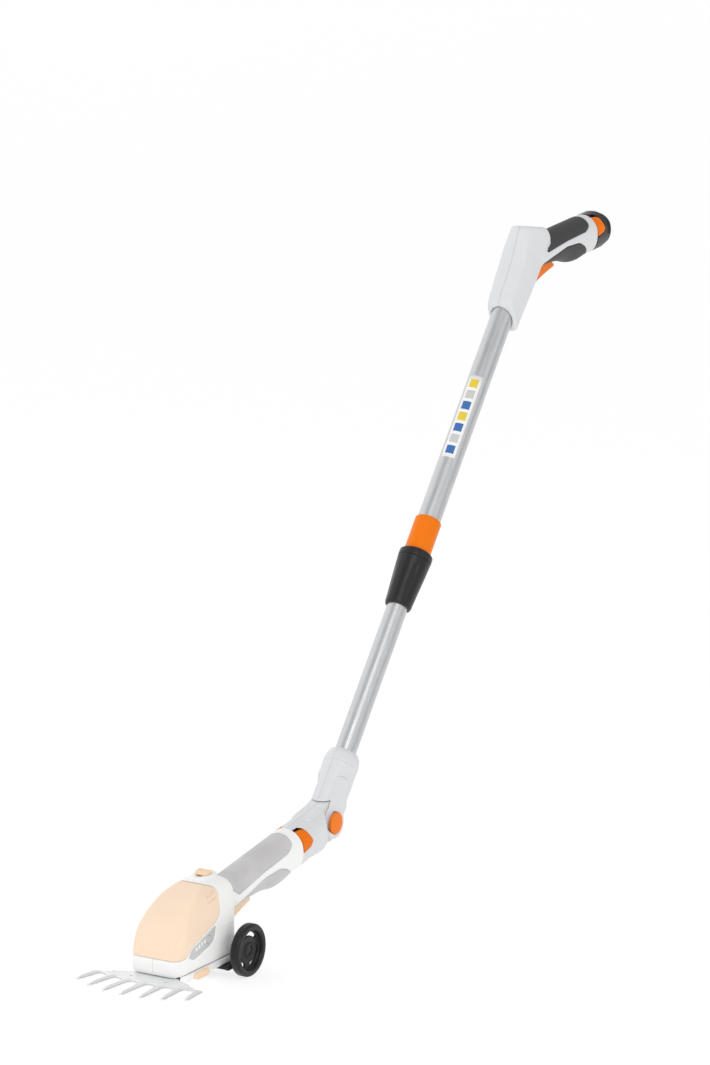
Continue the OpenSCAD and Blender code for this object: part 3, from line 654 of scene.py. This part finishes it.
def arm_half(x, y, z):
    r = np.sqrt(x * x + y * y)
    foot = (z - 14) - (y + 20.6) * 6.5 / 41.2
    bulge = profile(z, [0, 45, 62, 76, 83, ARM_TOP], [20.8, 20.8, 20.7, 20.5, 18.6, 14.9])
    barrel = inside_all(2.5, r - bulge, z - ARM_TOP, -foot)
    neck = inside_all(2.2, slab(y, -14, 14), slab(z, 8, 28), np.abs(x) - 18.4)
    cheek = inside_all(1.4, rod(y, z, CHEEK_R), np.abs(x) - 21.0)
    shape = low_mix(low_mix(barrel, neck, 4.0), cheek, 0.8)
    shape = cut(shape, np.maximum(rod(y, z, 25.0), np.abs(x) - TONGUE - 0.6), 1.5)
    shape = cut(shape, np.maximum(rod(x, y, 12.5), 32 - z), 0.6)
    shape = cut(shape, np.maximum(rod(y, z, BUTTON_R + 0.35), 16.2 - x), 0.6)
    shape = cut(shape, rod(y, z, PIN_HOLE_R), 0.3)
    waist_line = np.maximum(np.abs(z - 70) - 0.3, bulge - 0.7 - r)
    shape = cut(shape, waist_line, 0.4)
    # A flat with an arched top looks out between the front and the side.
    outward = x * math.sin(ARM_FLAT_TURN) - y * math.cos(ARM_FLAT_TURN)
    across = x * math.cos(ARM_FLAT_TURN) + y * math.sin(ARM_FLAT_TURN)
    over = np.maximum(z - ARM_FLAT_TOP, 0)
    arch = np.sqrt(across ** 2 + over ** 2) - 9.5
    shape = cut(shape, inside_all(0.6, arch, 18.0 - outward), 0.7)
    return inside_all(0.4, shape, 0.06 - x)


def lock_button_shape(x, y, z):
    r = np.sqrt(y * y + z * z)
    disc = inside_all(1.0, r - BUTTON_R, slab(x, 19.4, 22.7 - 0.0028 * r * r))
    return cut(disc, np.maximum(r - 9, x - 21.4), 0.2)


def arm_screws_shape(x, y, z):
    heads = [inside_all(0.3, rod(y - py, z - pz, 2.0), slab(-x, seat - 0.2, seat + 1.5))
             for py, pz, seat in ARM_SCREWS]
    return np.minimum.reduce(heads)


ARM_BOUNDS = (-1, -22, -20), (23, 22, 90)
moulded("arm_shell_left", arm_half, *ARM_BOUNDS, 0.7, POLE, shaft_shell, "pole", "arm_shell_left")
moulded("arm_shell_right", with_screw_holes(arm_half, ARM_SCREWS, 2.4), *ARM_BOUNDS, 0.7, POLE, shaft_shell,
        "pole", "arm_shell_right", mirrored=True)
moulded("arm_screws", arm_screws_shape, (-12, -19, 36), (-7, 19, 78), 0.45, POLE, steel, "pole", "arm_screws")
moulded("lock_button_left", lock_button_shape, (18.5, -15, -15), (24, 15, 15), 0.5, POLE, orange_trim,
        "lock_button_left", "lock_button_left",
        twin=("lock_button_right", "lock_button_right", ("lock_button_right",)))

# ---------------------------------------------------------------- adapter: knuckle body and end ring

ADAPTER_SIDE = ring_corner([(0.35, 60), (63.4, 60), (63.4, 10), (54.6, -8.5), (52, -24), (50, -28), (47, -29.6),
                            (43, -29.6), (40, -27.9), (0.35, -60)], 2)
WEB_SIDE = ring_corner([(30, 20.5), (55, 22), (63.2, 22), (63.2, 0), (52, -23.5), (30, -26)], 2)


def adapter_half(x, y, z):
    from_pin = np.sqrt((y - GRIP_REACH) ** 2 + z * z)
    shell = inside_all(1.6, oval(x, z, 21.3, 21.3, 29.8 - 1.9 * np.clip((41 - y) / 4, 0, 1)),
                       outline(ADAPTER_SIDE, y, z))
    shell = cut(shell, from_pin - 19.0, 1.0)
    tongue = inside_all(1.2, np.minimum(from_pin - 24.0, outline(WEB_SIDE, y, z)), np.abs(x) - TONGUE)
    shape = low_mix(shell, tongue, 1.0)
    hollow = inside_all(1.0, end_oval(x, z, 2.6), slab(y, 3, 40))
    shape = cut(shape, hollow, 0.5)
    shape = cut(shape, np.maximum(oval(x, z, 15.3, 15.3, 19.5), y - 8), 0.5)
    shape = cut(shape, latch_bed(x, y, z), 0.6)
    slit = inside_all(0.4, slab(y - (z - 12) * 0.25, 13.5, 16.0), slab(z, 10.5, 19.5), 14 - x)
    shape = cut(shape, slit, 0.5)
    line = np.abs(y - 27.0) - 0.35
    shape = cut(shape, np.maximum(line, -(oval(x, z, 21.3, 21.3, 27.9) + 0.7)), 0.4)
    shape = cut(shape, np.maximum(from_pin - PIN_HOLE_R - 0.05, np.abs(x) - 30), 0.3)
    shape = cut(shape, np.maximum(from_pin - 14.0, np.abs(x) - 6), 0.4)
    return inside_all(0.5, shape, 0.1 - x)


moulded("adapter_shell_left", adapter_half, (-1, -1, -31), (22.5, 97, 26), 0.7, SHEAR_GRIP, shaft_shell,
        "adapter", "adapter_shell_left", twin=("adapter_shell_right", "adapter", ("adapter_shell_right",)))
moulded("adapter_plug", lambda x, y, z: plug_solid(x, y, z, 8.0), (-16.5, -57.5, -20.5), (16.5, 9, 16.5), 0.9,
        SHEAR_GRIP, black_plastic, "adapter", "adapter_plug")

# ---------------------------------------------------------------- shear body

BODY_SIDE = ring_corner([(-105, 21), (-108, 25), (-108, 36), (-99, 59), (-81, 80), (-59, 95), (-36, 104.5),
                         (-12, 109), (7, 105.5), (12, 98), (12, 28), (7, 21)], 9)
COVER_SIDE = ring_corner([(-130, 39), (-97, 40), (-88, 42), (-82, 51), (-33, 65.5), (-22, 72), (-18, 100),
                          (-34, 106), (-40, 130), (-130, 130)], 6)
CROWN = [(-40, 0), (60, 0), (60, 60), (33.5, 62), (30.4, 80), (26.2, 96), (19, 104), (0, 110), (-40, 110)]
PANEL_SIDE = ring_corner([(-87, 40.5), (-81.5, 49), (-34, 63.3), (-39, 48), (-50, 43), (-78, 36.5)], 2.5)
SHELL_WALL = 2.4
CRANK_Y, BOLT_Y = -67.5, -88  # the crank's shaft and the blades' bolt, both upright
CHARGE_Y, CHARGE_Z = -48.5, 51  # the charge button's middle
SHEAR_SCREWS = [(-97, 31, 29.5), (-8, 31, 31), (2, 88, 26)]
grip_in_head = seen_from(HEAD, SHEAR_GRIP, lambda x, y, z: (x, y, z))


def body_outer(x, y, z, inset=0.0):
    side = outline(BODY_SIDE, y, z)
    # The sides are upright low down, lean in above the cover's shoulder and round over at the top.
    half = profile(z, [21, 30, 62, 84, 100, 112], [31.5, 33, 32.8, 29.8, 23.5, 11])
    nose = profile(y, [-110, -100, -84, -10, 6, 14], [26.5, 30.5, 33, 33, 30, 26])
    flank = np.abs(x) - np.minimum(half, nose)
    crown = outline(CROWN, np.abs(x), z)
    return high_mix(high_mix(side, flank * 0.96, 7.0), crown, 3.0) + inset


def cover_zone(y, z):
    return outline(COVER_SIDE, y, z)


def vent_slits(x, y, z):
    rise = (y + 28) * 0.16
    slits = np.minimum(np.abs(z - rise - 96.5), np.abs(z - rise - 90)) - 0.9
    return inside_all(0.3, slits, slab(y, -42, -24), 16 - np.abs(x), -body_outer(x, y, z, 1.1))


def shear_half(x, y, z):
    gx, gy, gz = grip_in_head(x, y, z)
    outer = body_outer(x, y, z)
    plinth = inside_all(2.0, np.sqrt(x * x + ((y + 8) / 1.6) ** 2) - 11.5, slab(z, 104.3, 109.1))
    shape = low_mix(low_mix(outer, plinth, 3.0), grip_solid(gx, gy, gz, -158), 4.0)
    shape = cut(shape, body_outer(x, y, z, SHELL_WALL), 0.8)
    shape = cut(shape, cover_zone(y, z) - 0.12, 0.7)
    shape = with_grip_cuts(shape, gx, gy, gz, -170)
    saddle = inside_all(0.6, np.abs(x) - 4, slab(y, -20, -4.5), 95 - z)
    shape = cut(shape, saddle, 0.5)
    floor_holes = np.maximum(np.minimum(rod(x, y - CRANK_Y, 6.3), rod(x, y - BOLT_Y, 3.0)), z - 30)
    shape = cut(shape, floor_holes, 0.3)
    return inside_all(0.3, shape, 0.05 - x)


def shear_left_half(x, y, z):
    shape = cut(shear_half(x, y, z), np.maximum(outline(PANEL_SIDE, y, z), 31.6 - x), 0.4)
    return cut(shape, np.maximum(rod(y - CHARGE_Y, z - CHARGE_Z, 4.7), 20 - x), 0.3)


def shear_screws_shape(x, y, z):
    """Screws from the right-hand side; the top one stands further in, where the body is narrower."""
    heads = [inside_all(0.3, rod(y - py, z - pz, 2.35), slab(-x, seat - 0.2, seat + 1.4))
             for py, pz, seat in SHEAR_SCREWS]
    shanks = [np.maximum(rod(y - py, z - pz, 1.2), slab(-x, -13.5, seat)) for py, pz, seat in SHEAR_SCREWS]
    shape = np.minimum.reduce(heads + shanks)
    for py, pz, seat in SHEAR_SCREWS:
        cross = np.minimum(np.maximum(np.abs(y - py) - 0.4, np.abs(z - pz) - 1.4),
                           np.maximum(np.abs(z - pz) - 0.4, np.abs(y - py) - 1.4))
        shape = cut(shape, np.maximum(cross, x + seat + 0.6), 0.1)
    return shape


def cover_shape(x, y, z):
    shell = np.maximum(body_outer(x, y, z, -0.05), -body_outer(x, y, z, SHELL_WALL))
    shape = inside_all(1.2, shell, cover_zone(y, z) + 0.15)
    return cut(shape, vent_slits(x, y, z), 0.5)


SHEAR_BOUNDS = (-1, -110, 19), (35, 170, 121)
moulded("shear_shell_left", shear_left_half, *SHEAR_BOUNDS, 0.9, HEAD, head_shell, "shear",
        "shear_shell_left")
moulded("shear_shell_right", with_screw_holes(shear_half, SHEAR_SCREWS, 2.6), *SHEAR_BOUNDS, 0.9, HEAD,
        head_shell, "shear", "shear_shell_right", mirrored=True)
moulded("shear_screws", shear_screws_shape, (-34, -101, 27), (15, 6, 92), 0.6, HEAD, steel, "shear",
        "shear_screws")
moulded("top_cover", cover_shape, (-35, -110, 38), (35, -14, 110), 0.7, HEAD, head_cover, "shear",
        "top_cover")

# ---------------------------------------------------------------- charge display, slider, blade latch


def panel_shape(x, y, z):
    panel = inside_all(0.5, outline(PANEL_SIDE, y, z) + 0.15, slab(x, 31.6, 33.15))
    panel = cut(panel, np.maximum(rod(y - CHARGE_Y, z - CHARGE_Z, 4.5), 20 - x), 0.4)
    for i in range(4):
        light = inside_all(0.2, slab(y, -74.1 + 5.3 * i, -71.9 + 5.3 * i),
                           slab(z, 44.6 + 1.5 * i, 49 + 1.5 * i))
        panel = cut(panel, light, 0.2)
    return panel


def charge_button_shape(x, y, z):
    r = np.sqrt((y - CHARGE_Y) ** 2 + (z - CHARGE_Z) ** 2)
    face = inside_all(0.5, r - 4.2, slab(x, 31.2, 33.8))
    ring = np.abs(r - 2.4) - 0.28
    return cut(face, np.maximum(ring, 33.4 - x), 0.2)


def slider_shape(x, y, z):
    side = ring_corner([(-17, 109.4), (-14, 112.6), (-8, 114.4), (-2, 112.6), (1, 109.4)], 2)
    pad = inside_all(1.4, outline(side, y, z), np.abs(x) - 7.6)
    dish = np.sqrt(x * x + (y + 8) ** 2 + (z - 121.5) ** 2) - 9.0
    pad = cut(pad, dish, 0.6)
    neck = inside_all(0.4, np.abs(x) - 3.6, slab(y, -14, -6), slab(z, 101.5, 110))
    foot = inside_all(0.4, np.abs(x) - 7, slab(y, -18, -2), slab(z, 101.5, 103.8))
    return np.minimum(np.minimum(pad, neck), foot)


def blade_latch_shape(x, y, z):
    bar = inside_all(0.4, np.abs(x) - 32, slab(y, -66, -58), slab(z, 13.7, 15.8))
    side = ring_corner([(-76, 14), (-70, 11.9), (-50, 11.9), (-48, 14), (-48, 20.3), (-74, 20.3)], 1.5)
    wing = inside_all(0.8, outline(side, y, z), slab(np.abs(x), 31.3, 33.6))
    ridge = np.abs(y % 3.0 - 1.5) - 0.5
    wing = cut(wing, inside_all(0.3, ridge, slab(y, -70, -52), 33.1 - np.abs(x), slab(z, 13.4, 19)), 0.3)
    return np.minimum(bar, wing)


moulded("charge_panel", panel_shape, (31, -89, 35), (34, -32, 65), 0.4, HEAD, panel_grey, "shear",
        "charge_panel")
moulded("charge_button", charge_button_shape, (30.5, -54, 45.5), (34.5, -43, 56.5), 0.25, HEAD, panel_grey,
        "charge_button", "charge_button")
moulded("thumb_slider", slider_shape, (-9, -19, 100.5), (9, 2.5, 115.5), 0.45, HEAD, pale_trim,
        "thumb_slider", "thumb_slider")
moulded("blade_latch", blade_latch_shape, (-36.5, -77, 11), (36.5, -47, 21), 0.5, HEAD, pale_trim,
        "blade_latch", "blade_latch")

# ---------------------------------------------------------------- tray, wheels and their bracket

TRAY_PLAN = ring_corner([(-27, -96), (27, -96), (31, -88), (31, 4), (25, 8), (-25, 8), (-31, 4),
                         (-31, -88)], 5)


def tray_shape(x, y, z):
    tray = inside_all(1.2, outline(TRAY_PLAN, x, y), slab(z, 13.5, 20.9))
    tray = cut(tray, inside_all(0.4, np.abs(x) - 26, slab(y, -130, -46), 15.8 - z), 0.4)
    tray = cut(tray, inside_all(0.3, slab(y, -67, -51.5), slab(z, 12, 16)), 0.4)
    pockets = inside_all(0.8, np.abs(np.abs(x) - 14) - 9, np.abs(y + 20) - 13, z - 15.5)
    tray = cut(tray, pockets, 0.6)
    return cut(tray, np.maximum(rod(x, y - BOLT_Y, 3.0), slab(z, 12, 40)), 0.3)


WHEEL_R = joint["wheel_left_spin"]["pos_m"][2] / MM
WHEEL_SIDE = ring_corner([(3.05, 44.5), (9, 44.5), (10.5, 49), (21.5, 49), (22.6, 46.2), (27.6, 46),
                          (29.2, 48), (29.2, 55.2), (27.6, 57), (23, 57), (21.6, 55.5), (21.2, 52), (8.6, 52),
                          (7.6, 53.6), (5.7, 53.6), (5.6, 49.5), (3.05, 49.5)], 1.0)
SPOKE_TURN = 7 + 90


def wheel_shape(x, y, z):
    z = z - WHEEL_R
    r = np.sqrt(y * y + z * z)
    shape = outline(WHEEL_SIDE, r, x)
    turn = np.arctan2(z, y) + math.radians(SPOKE_TURN)
    third = 2 * math.pi / 3
    off_spoke = np.abs((turn + third / 2) % third - third / 2)
    slot = inside_all(1.2, 15.6 - r, r - 19.9, 4.4 - off_spoke * r * 0.9)
    hub_cap = inside_all(0.5, r - 5.9, slab(x, 51.4, 52.8 - 0.02 * r * r))
    return np.minimum(cut(shape, slot, 0.8), hub_cap)


def bracket_shape(x, y, z):
    plate = inside_all(0.8, np.abs(x) - 41.4, slab(y, -24, -2), slab(z, 10.5, 13.45))
    side = ring_corner([(-24, 10.5), (-24, 13.5), (-16, 17), (-5, WHEEL_R + 6), (5, WHEEL_R + 6),
                        (7.5, WHEEL_R - 2), (-2, 10.5)], 3)
    profile_line = low_mix(outline(side, y, z), rod(y, z - WHEEL_R, 8.0), 1.0)
    ear = inside_all(0.8, profile_line, slab(np.abs(x), 38.05, 41.4))
    shape = low_mix(plate, ear, 1.5)
    return cut(shape, rod(y, z - WHEEL_R, 3.0), 0.3)


moulded("base_plate", tray_shape, (-32.5, -98, 12.5), (32.5, 10, 22), 0.7, HEAD, head_shell, "shear",
        "base_plate")
moulded("wheel_left", wheel_shape, (43.5, -30.5, -1), (58, 30.5, 60), 0.6, HEAD, wheel_black, "wheel_left",
        "wheel_left", twin=("wheel_right", "wheel_right", ("wheel_right",)))
moulded("wheel_bracket", bracket_shape, (-42.5, -25.5, 9.5), (42.5, 10, 39), 0.7, HEAD, black_plastic, "shear",
        "wheel_bracket")

# ---------------------------------------------------------------- blades

TOOTH_PITCH, SIDE_TEETH, TOOTH_LENGTH = 21.7, 3, 42.0
BLADE_Z, BLADE_T, UPPER_T = 16.0, 2.3, 2.0
ROOT_Y = -128.0


def front_edge(x):
    return ROOT_Y + (x / TOOTH_PITCH) ** 2


def comb(root_half, tip_half, shorten, tail_half, tail_back):
    """Outline of a comb blade: its tail, its wings and its fanned teeth with rounded roots."""
    wing = SIDE_TEETH * TOOTH_PITCH + root_half + 0.6
    points = [(tail_half, tail_back), (tail_half, -92), (31, -104), (wing - 4, -119)]
    for k in range(SIDE_TEETH, -SIDE_TEETH - 1, -1):
        reach = TOOTH_LENGTH - 1.2 * k * k - shorten
        c, s = math.cos(math.radians(3 * k)), math.sin(math.radians(3 * k))
        # Each side of a tooth curves from the wide gap's round root to the slim blade of the tooth.
        side = [(root_half + 1.2, 0.5), (root_half - 0.3, -reach * 0.1), (root_half - 1.0, -reach * 0.35),
                (tip_half + 0.7, 5 - reach), (tip_half - 0.9, -reach)]
        ox, oy = k * TOOTH_PITCH, front_edge(k * TOOTH_PITCH)
        tooth = side + [(-x, y) for x, y in reversed(side)]
        points += [(ox + x * c - y * s, oy + x * s + y * c) for x, y in tooth]
    points += [(4 - wing, -119), (-31, -104), (-tail_half, -92), (-tail_half, tail_back)]
    return ring_corner(points, 2.6, 3)


LOWER_COMB = comb(5.2, 2.4, 0, 24, -48)
UPPER_COMB = comb(4.4, 2.0, 4, 12.5, -56)


def ground_blade(points, low, thick, bevel_up, shape_cuts):
    """A flat blade whose teeth are ground to an edge on one face."""
    def shape(x, y, z):
        edge = outline(points, x, y)
        height = (z - low) if bevel_up else (low + thick - z)
        slope = np.where(y < -112, (edge + 2.2) * 0.62 + (height - thick), edge)
        body = inside_all(0.25, edge, slab(z, low, low + thick), slope)
        return shape_cuts(body, x, y, z)
    return shape


def lower_cuts(body, x, y, z):
    return cut(body, np.maximum(rod(x, y - BOLT_Y, 3.0), slab(z, 0, 40)), 0.2)


def upper_cuts(body, x, y, z):
    body = cut(body, np.maximum(rod(x, y - BOLT_Y, 3.06), slab(z, 0, 40)), 0.2)
    window = inside_all(1.0, np.abs(x) - 7.9, slab(y, CRANK_Y - 6, CRANK_Y + 6))
    oil_holes = rod(np.abs(x) - 22, y + 116, 2.0)
    return cut(cut(body, window, 0.2), oil_holes, 0.3)


moulded("lower_blade", ground_blade(LOWER_COMB, BLADE_Z, BLADE_T, False, lower_cuts),
        (-75, -172, 15.4), (75, -46, 19), 0.5, HEAD, blade_metal, "shear", "lower_blade")
moulded("upper_blade", ground_blade(UPPER_COMB, BLADE_Z + BLADE_T + 0.2, UPPER_T, True, upper_cuts),
        (-75, -168, 17.9), (75, -54, 21.1), 0.5, HEAD, blade_metal, "upper_blade", "upper_blade")

# ---------------------------------------------------------------- label on the upper tube


def tube_patch(name, turn0, turn1, s0, s1, radius, material):
    """A thin film on the tube, from turn0 to turn1 degrees round it and s0 to s1 along it."""
    turns = np.radians(np.linspace(turn0, turn1, 13))
    alongs = np.linspace(s0, s1, 9)
    rows = []
    for r in (radius, radius + 0.08):
        rows += [(r * math.sin(t), -r * math.cos(t), s) for s in alongs for t in turns]
    n, m = len(alongs), len(turns)
    faces = []
    for i in range(n - 1):
        for j in range(m - 1):
            a = i * m + j
            outer = [n * m + v for v in (a, a + 1, a + m + 1, a + m)]
            faces += [outer, [a + m, a + m + 1, a + 1, a]]
    rim = ([(0, j) for j in range(m)] + [(i, m - 1) for i in range(1, n)]
           + [(n - 1, j) for j in range(m - 2, -1, -1)] + [(i, 0) for i in range(n - 2, 0, -1)])
    for (i0, j0), (i1, j1) in zip(rim, rim[1:] + rim[:1]):
        a, b = i0 * m + j0, i1 * m + j1
        faces.append([a, b, b + n * m, a + n * m])
    piece = mesh_piece(name, np.array(rows), np.array(faces), POLE)
    return finish_piece(piece, material, "handle", ())


LABEL_FROM, LABEL_TO, LABEL_TURN = 478.0, 592.0, 12.0
BLOCK_STEP, BLOCK_LENGTH = 15.4, 11.0
tube_patch("label_film", LABEL_TURN - 36, LABEL_TURN + 36, LABEL_FROM, LABEL_TO, TUBE_R + 0.02, label_white)
for i, ink in enumerate((1, 2, 1, 0, 1, 2, 0)):
    start = LABEL_FROM + 5 + BLOCK_STEP * i
    tube_patch(f"label_block_{i}", LABEL_TURN - 22, LABEL_TURN + 22, start, start + BLOCK_LENGTH,
               TUBE_R + 0.11, label_ink[ink])

# ---------------------------------------------------------------- stage, light and camera


def make_stage():
    """A pale floor that glows a little, so that it stays white far behind the tool."""
    half, tone, glow = 60.0, 0.3, 0.76
    mesh = bpy.data.meshes.new("floor")
    corners = [(-half, -half, 0), (half, -half, 0), (half, half, 0), (-half, half, 0)]
    mesh.from_pydata(corners, [], [(0, 1, 2, 3)])
    floor = bpy.data.objects.new("floor", mesh)
    bpy.context.scene.collection.objects.link(floor)
    m = bpy.data.materials.new("Floor")
    m.use_nodes = True
    shader = m.node_tree.nodes["Principled BSDF"]
    shader.inputs["Base Color"].default_value = (tone, tone, tone, 1)
    shader.inputs["Roughness"].default_value = 0.9
    shader.inputs["Specular IOR Level"].default_value = 0.05
    shader.inputs["Emission Color"].default_value = (1, 1, 1, 1)
    shader.inputs["Emission Strength"].default_value = glow
    mesh.materials.append(m)


def area_light(name, at, towards, size, watts):
    data = bpy.data.lights.new(name, "AREA")
    data.shape, data.size, data.energy = "DISK", size, watts
    lamp = bpy.data.objects.new(name, data)
    lamp.location = at
    lamp.rotation_euler = (Vector(towards) - Vector(at)).to_track_quat("-Z", "Y").to_euler()
    bpy.context.scene.collection.objects.link(lamp)


def math_node(nodes, links, operation, a, b):
    node = nodes.new("ShaderNodeMath")
    node.operation = operation
    for socket, value in zip(node.inputs, (a, b)):
        if isinstance(value, (int, float)):
            socket.default_value = value
        else:
            links.new(value, socket)
    return node.outputs["Value"]


def sky_band(nodes, links, value, low, high, soft):
    """One inside low to high of value, fading to zero over soft on each side."""
    rise = ramped(nodes, links, value, low - soft, low + soft, 0.0, 1.0)
    fall = ramped(nodes, links, value, high - soft, high + soft, 1.0, 0.0)
    return math_node(nodes, links, "MULTIPLY", rise, fall)


def make_light():
    """A bright studio: even light, a big bright wall on each side and a dimmer part overhead."""
    even, wall_gain, key_watts = 0.55, 0.62, 42
    world = bpy.data.worlds.new("Studio")
    bpy.context.scene.world = world
    world.use_nodes = True
    nodes, links = world.node_tree.nodes, world.node_tree.links
    where = nodes.new("ShaderNodeTexCoord")
    split = nodes.new("ShaderNodeSeparateXYZ")
    links.new(where.outputs["Generated"], split.inputs["Vector"])
    x, z = split.outputs["X"], split.outputs["Z"]
    left_wall = math_node(nodes, links, "MULTIPLY", sky_band(nodes, links, x, -2.0, -0.45, 0.12),
                          sky_band(nodes, links, z, -0.05, 2.0, 0.05))
    right_wall = math_node(nodes, links, "MULTIPLY", sky_band(nodes, links, x, 0.75, 2.0, 0.1),
                           sky_band(nodes, links, z, 0.28, 0.68, 0.08))
    walls = math_node(nodes, links, "ADD", left_wall, right_wall)
    strength = math_node(nodes, links, "ADD", math_node(nodes, links, "MULTIPLY", walls, wall_gain), even)
    links.new(strength, nodes["Background"].inputs["Strength"])
    nodes["Background"].inputs["Color"].default_value = (1, 1, 1, 1)
    area_light("key", (1.6, -2.6, 2.6), (0, 0, 0.5), 2.4, key_watts)


SENSOR_MM, LENS_MM = 36.0, 114.9296
CAMERA_AZIMUTH, CAMERA_ELEVATION = 30.89, 10.69  # degrees


def make_camera():
    """The camera stands near and high to the tool's left front, with a long lens."""
    data = bpy.data.cameras.new("camera")
    data.sensor_width, data.lens = SENSOR_MM, LENS_MM
    data.clip_end = 200.0
    camera = bpy.data.objects.new("camera", data)
    camera.location = (1.9675, -2.9768 + wheel_axle_y, 1.1575)
    azimuth, elevation = math.radians(CAMERA_AZIMUTH), math.radians(CAMERA_ELEVATION)
    back = Vector((math.sin(azimuth) * math.cos(elevation), -math.cos(azimuth) * math.cos(elevation),
                   math.sin(elevation)))
    camera.rotation_mode = "QUATERNION"
    camera.rotation_quaternion = (-back).to_track_quat("-Z", "Y")
    bpy.context.scene.collection.objects.link(camera)
    bpy.context.scene.camera = camera


make_stage()
make_light()
make_camera()
bpy.context.scene.view_settings.view_transform = "Standard"
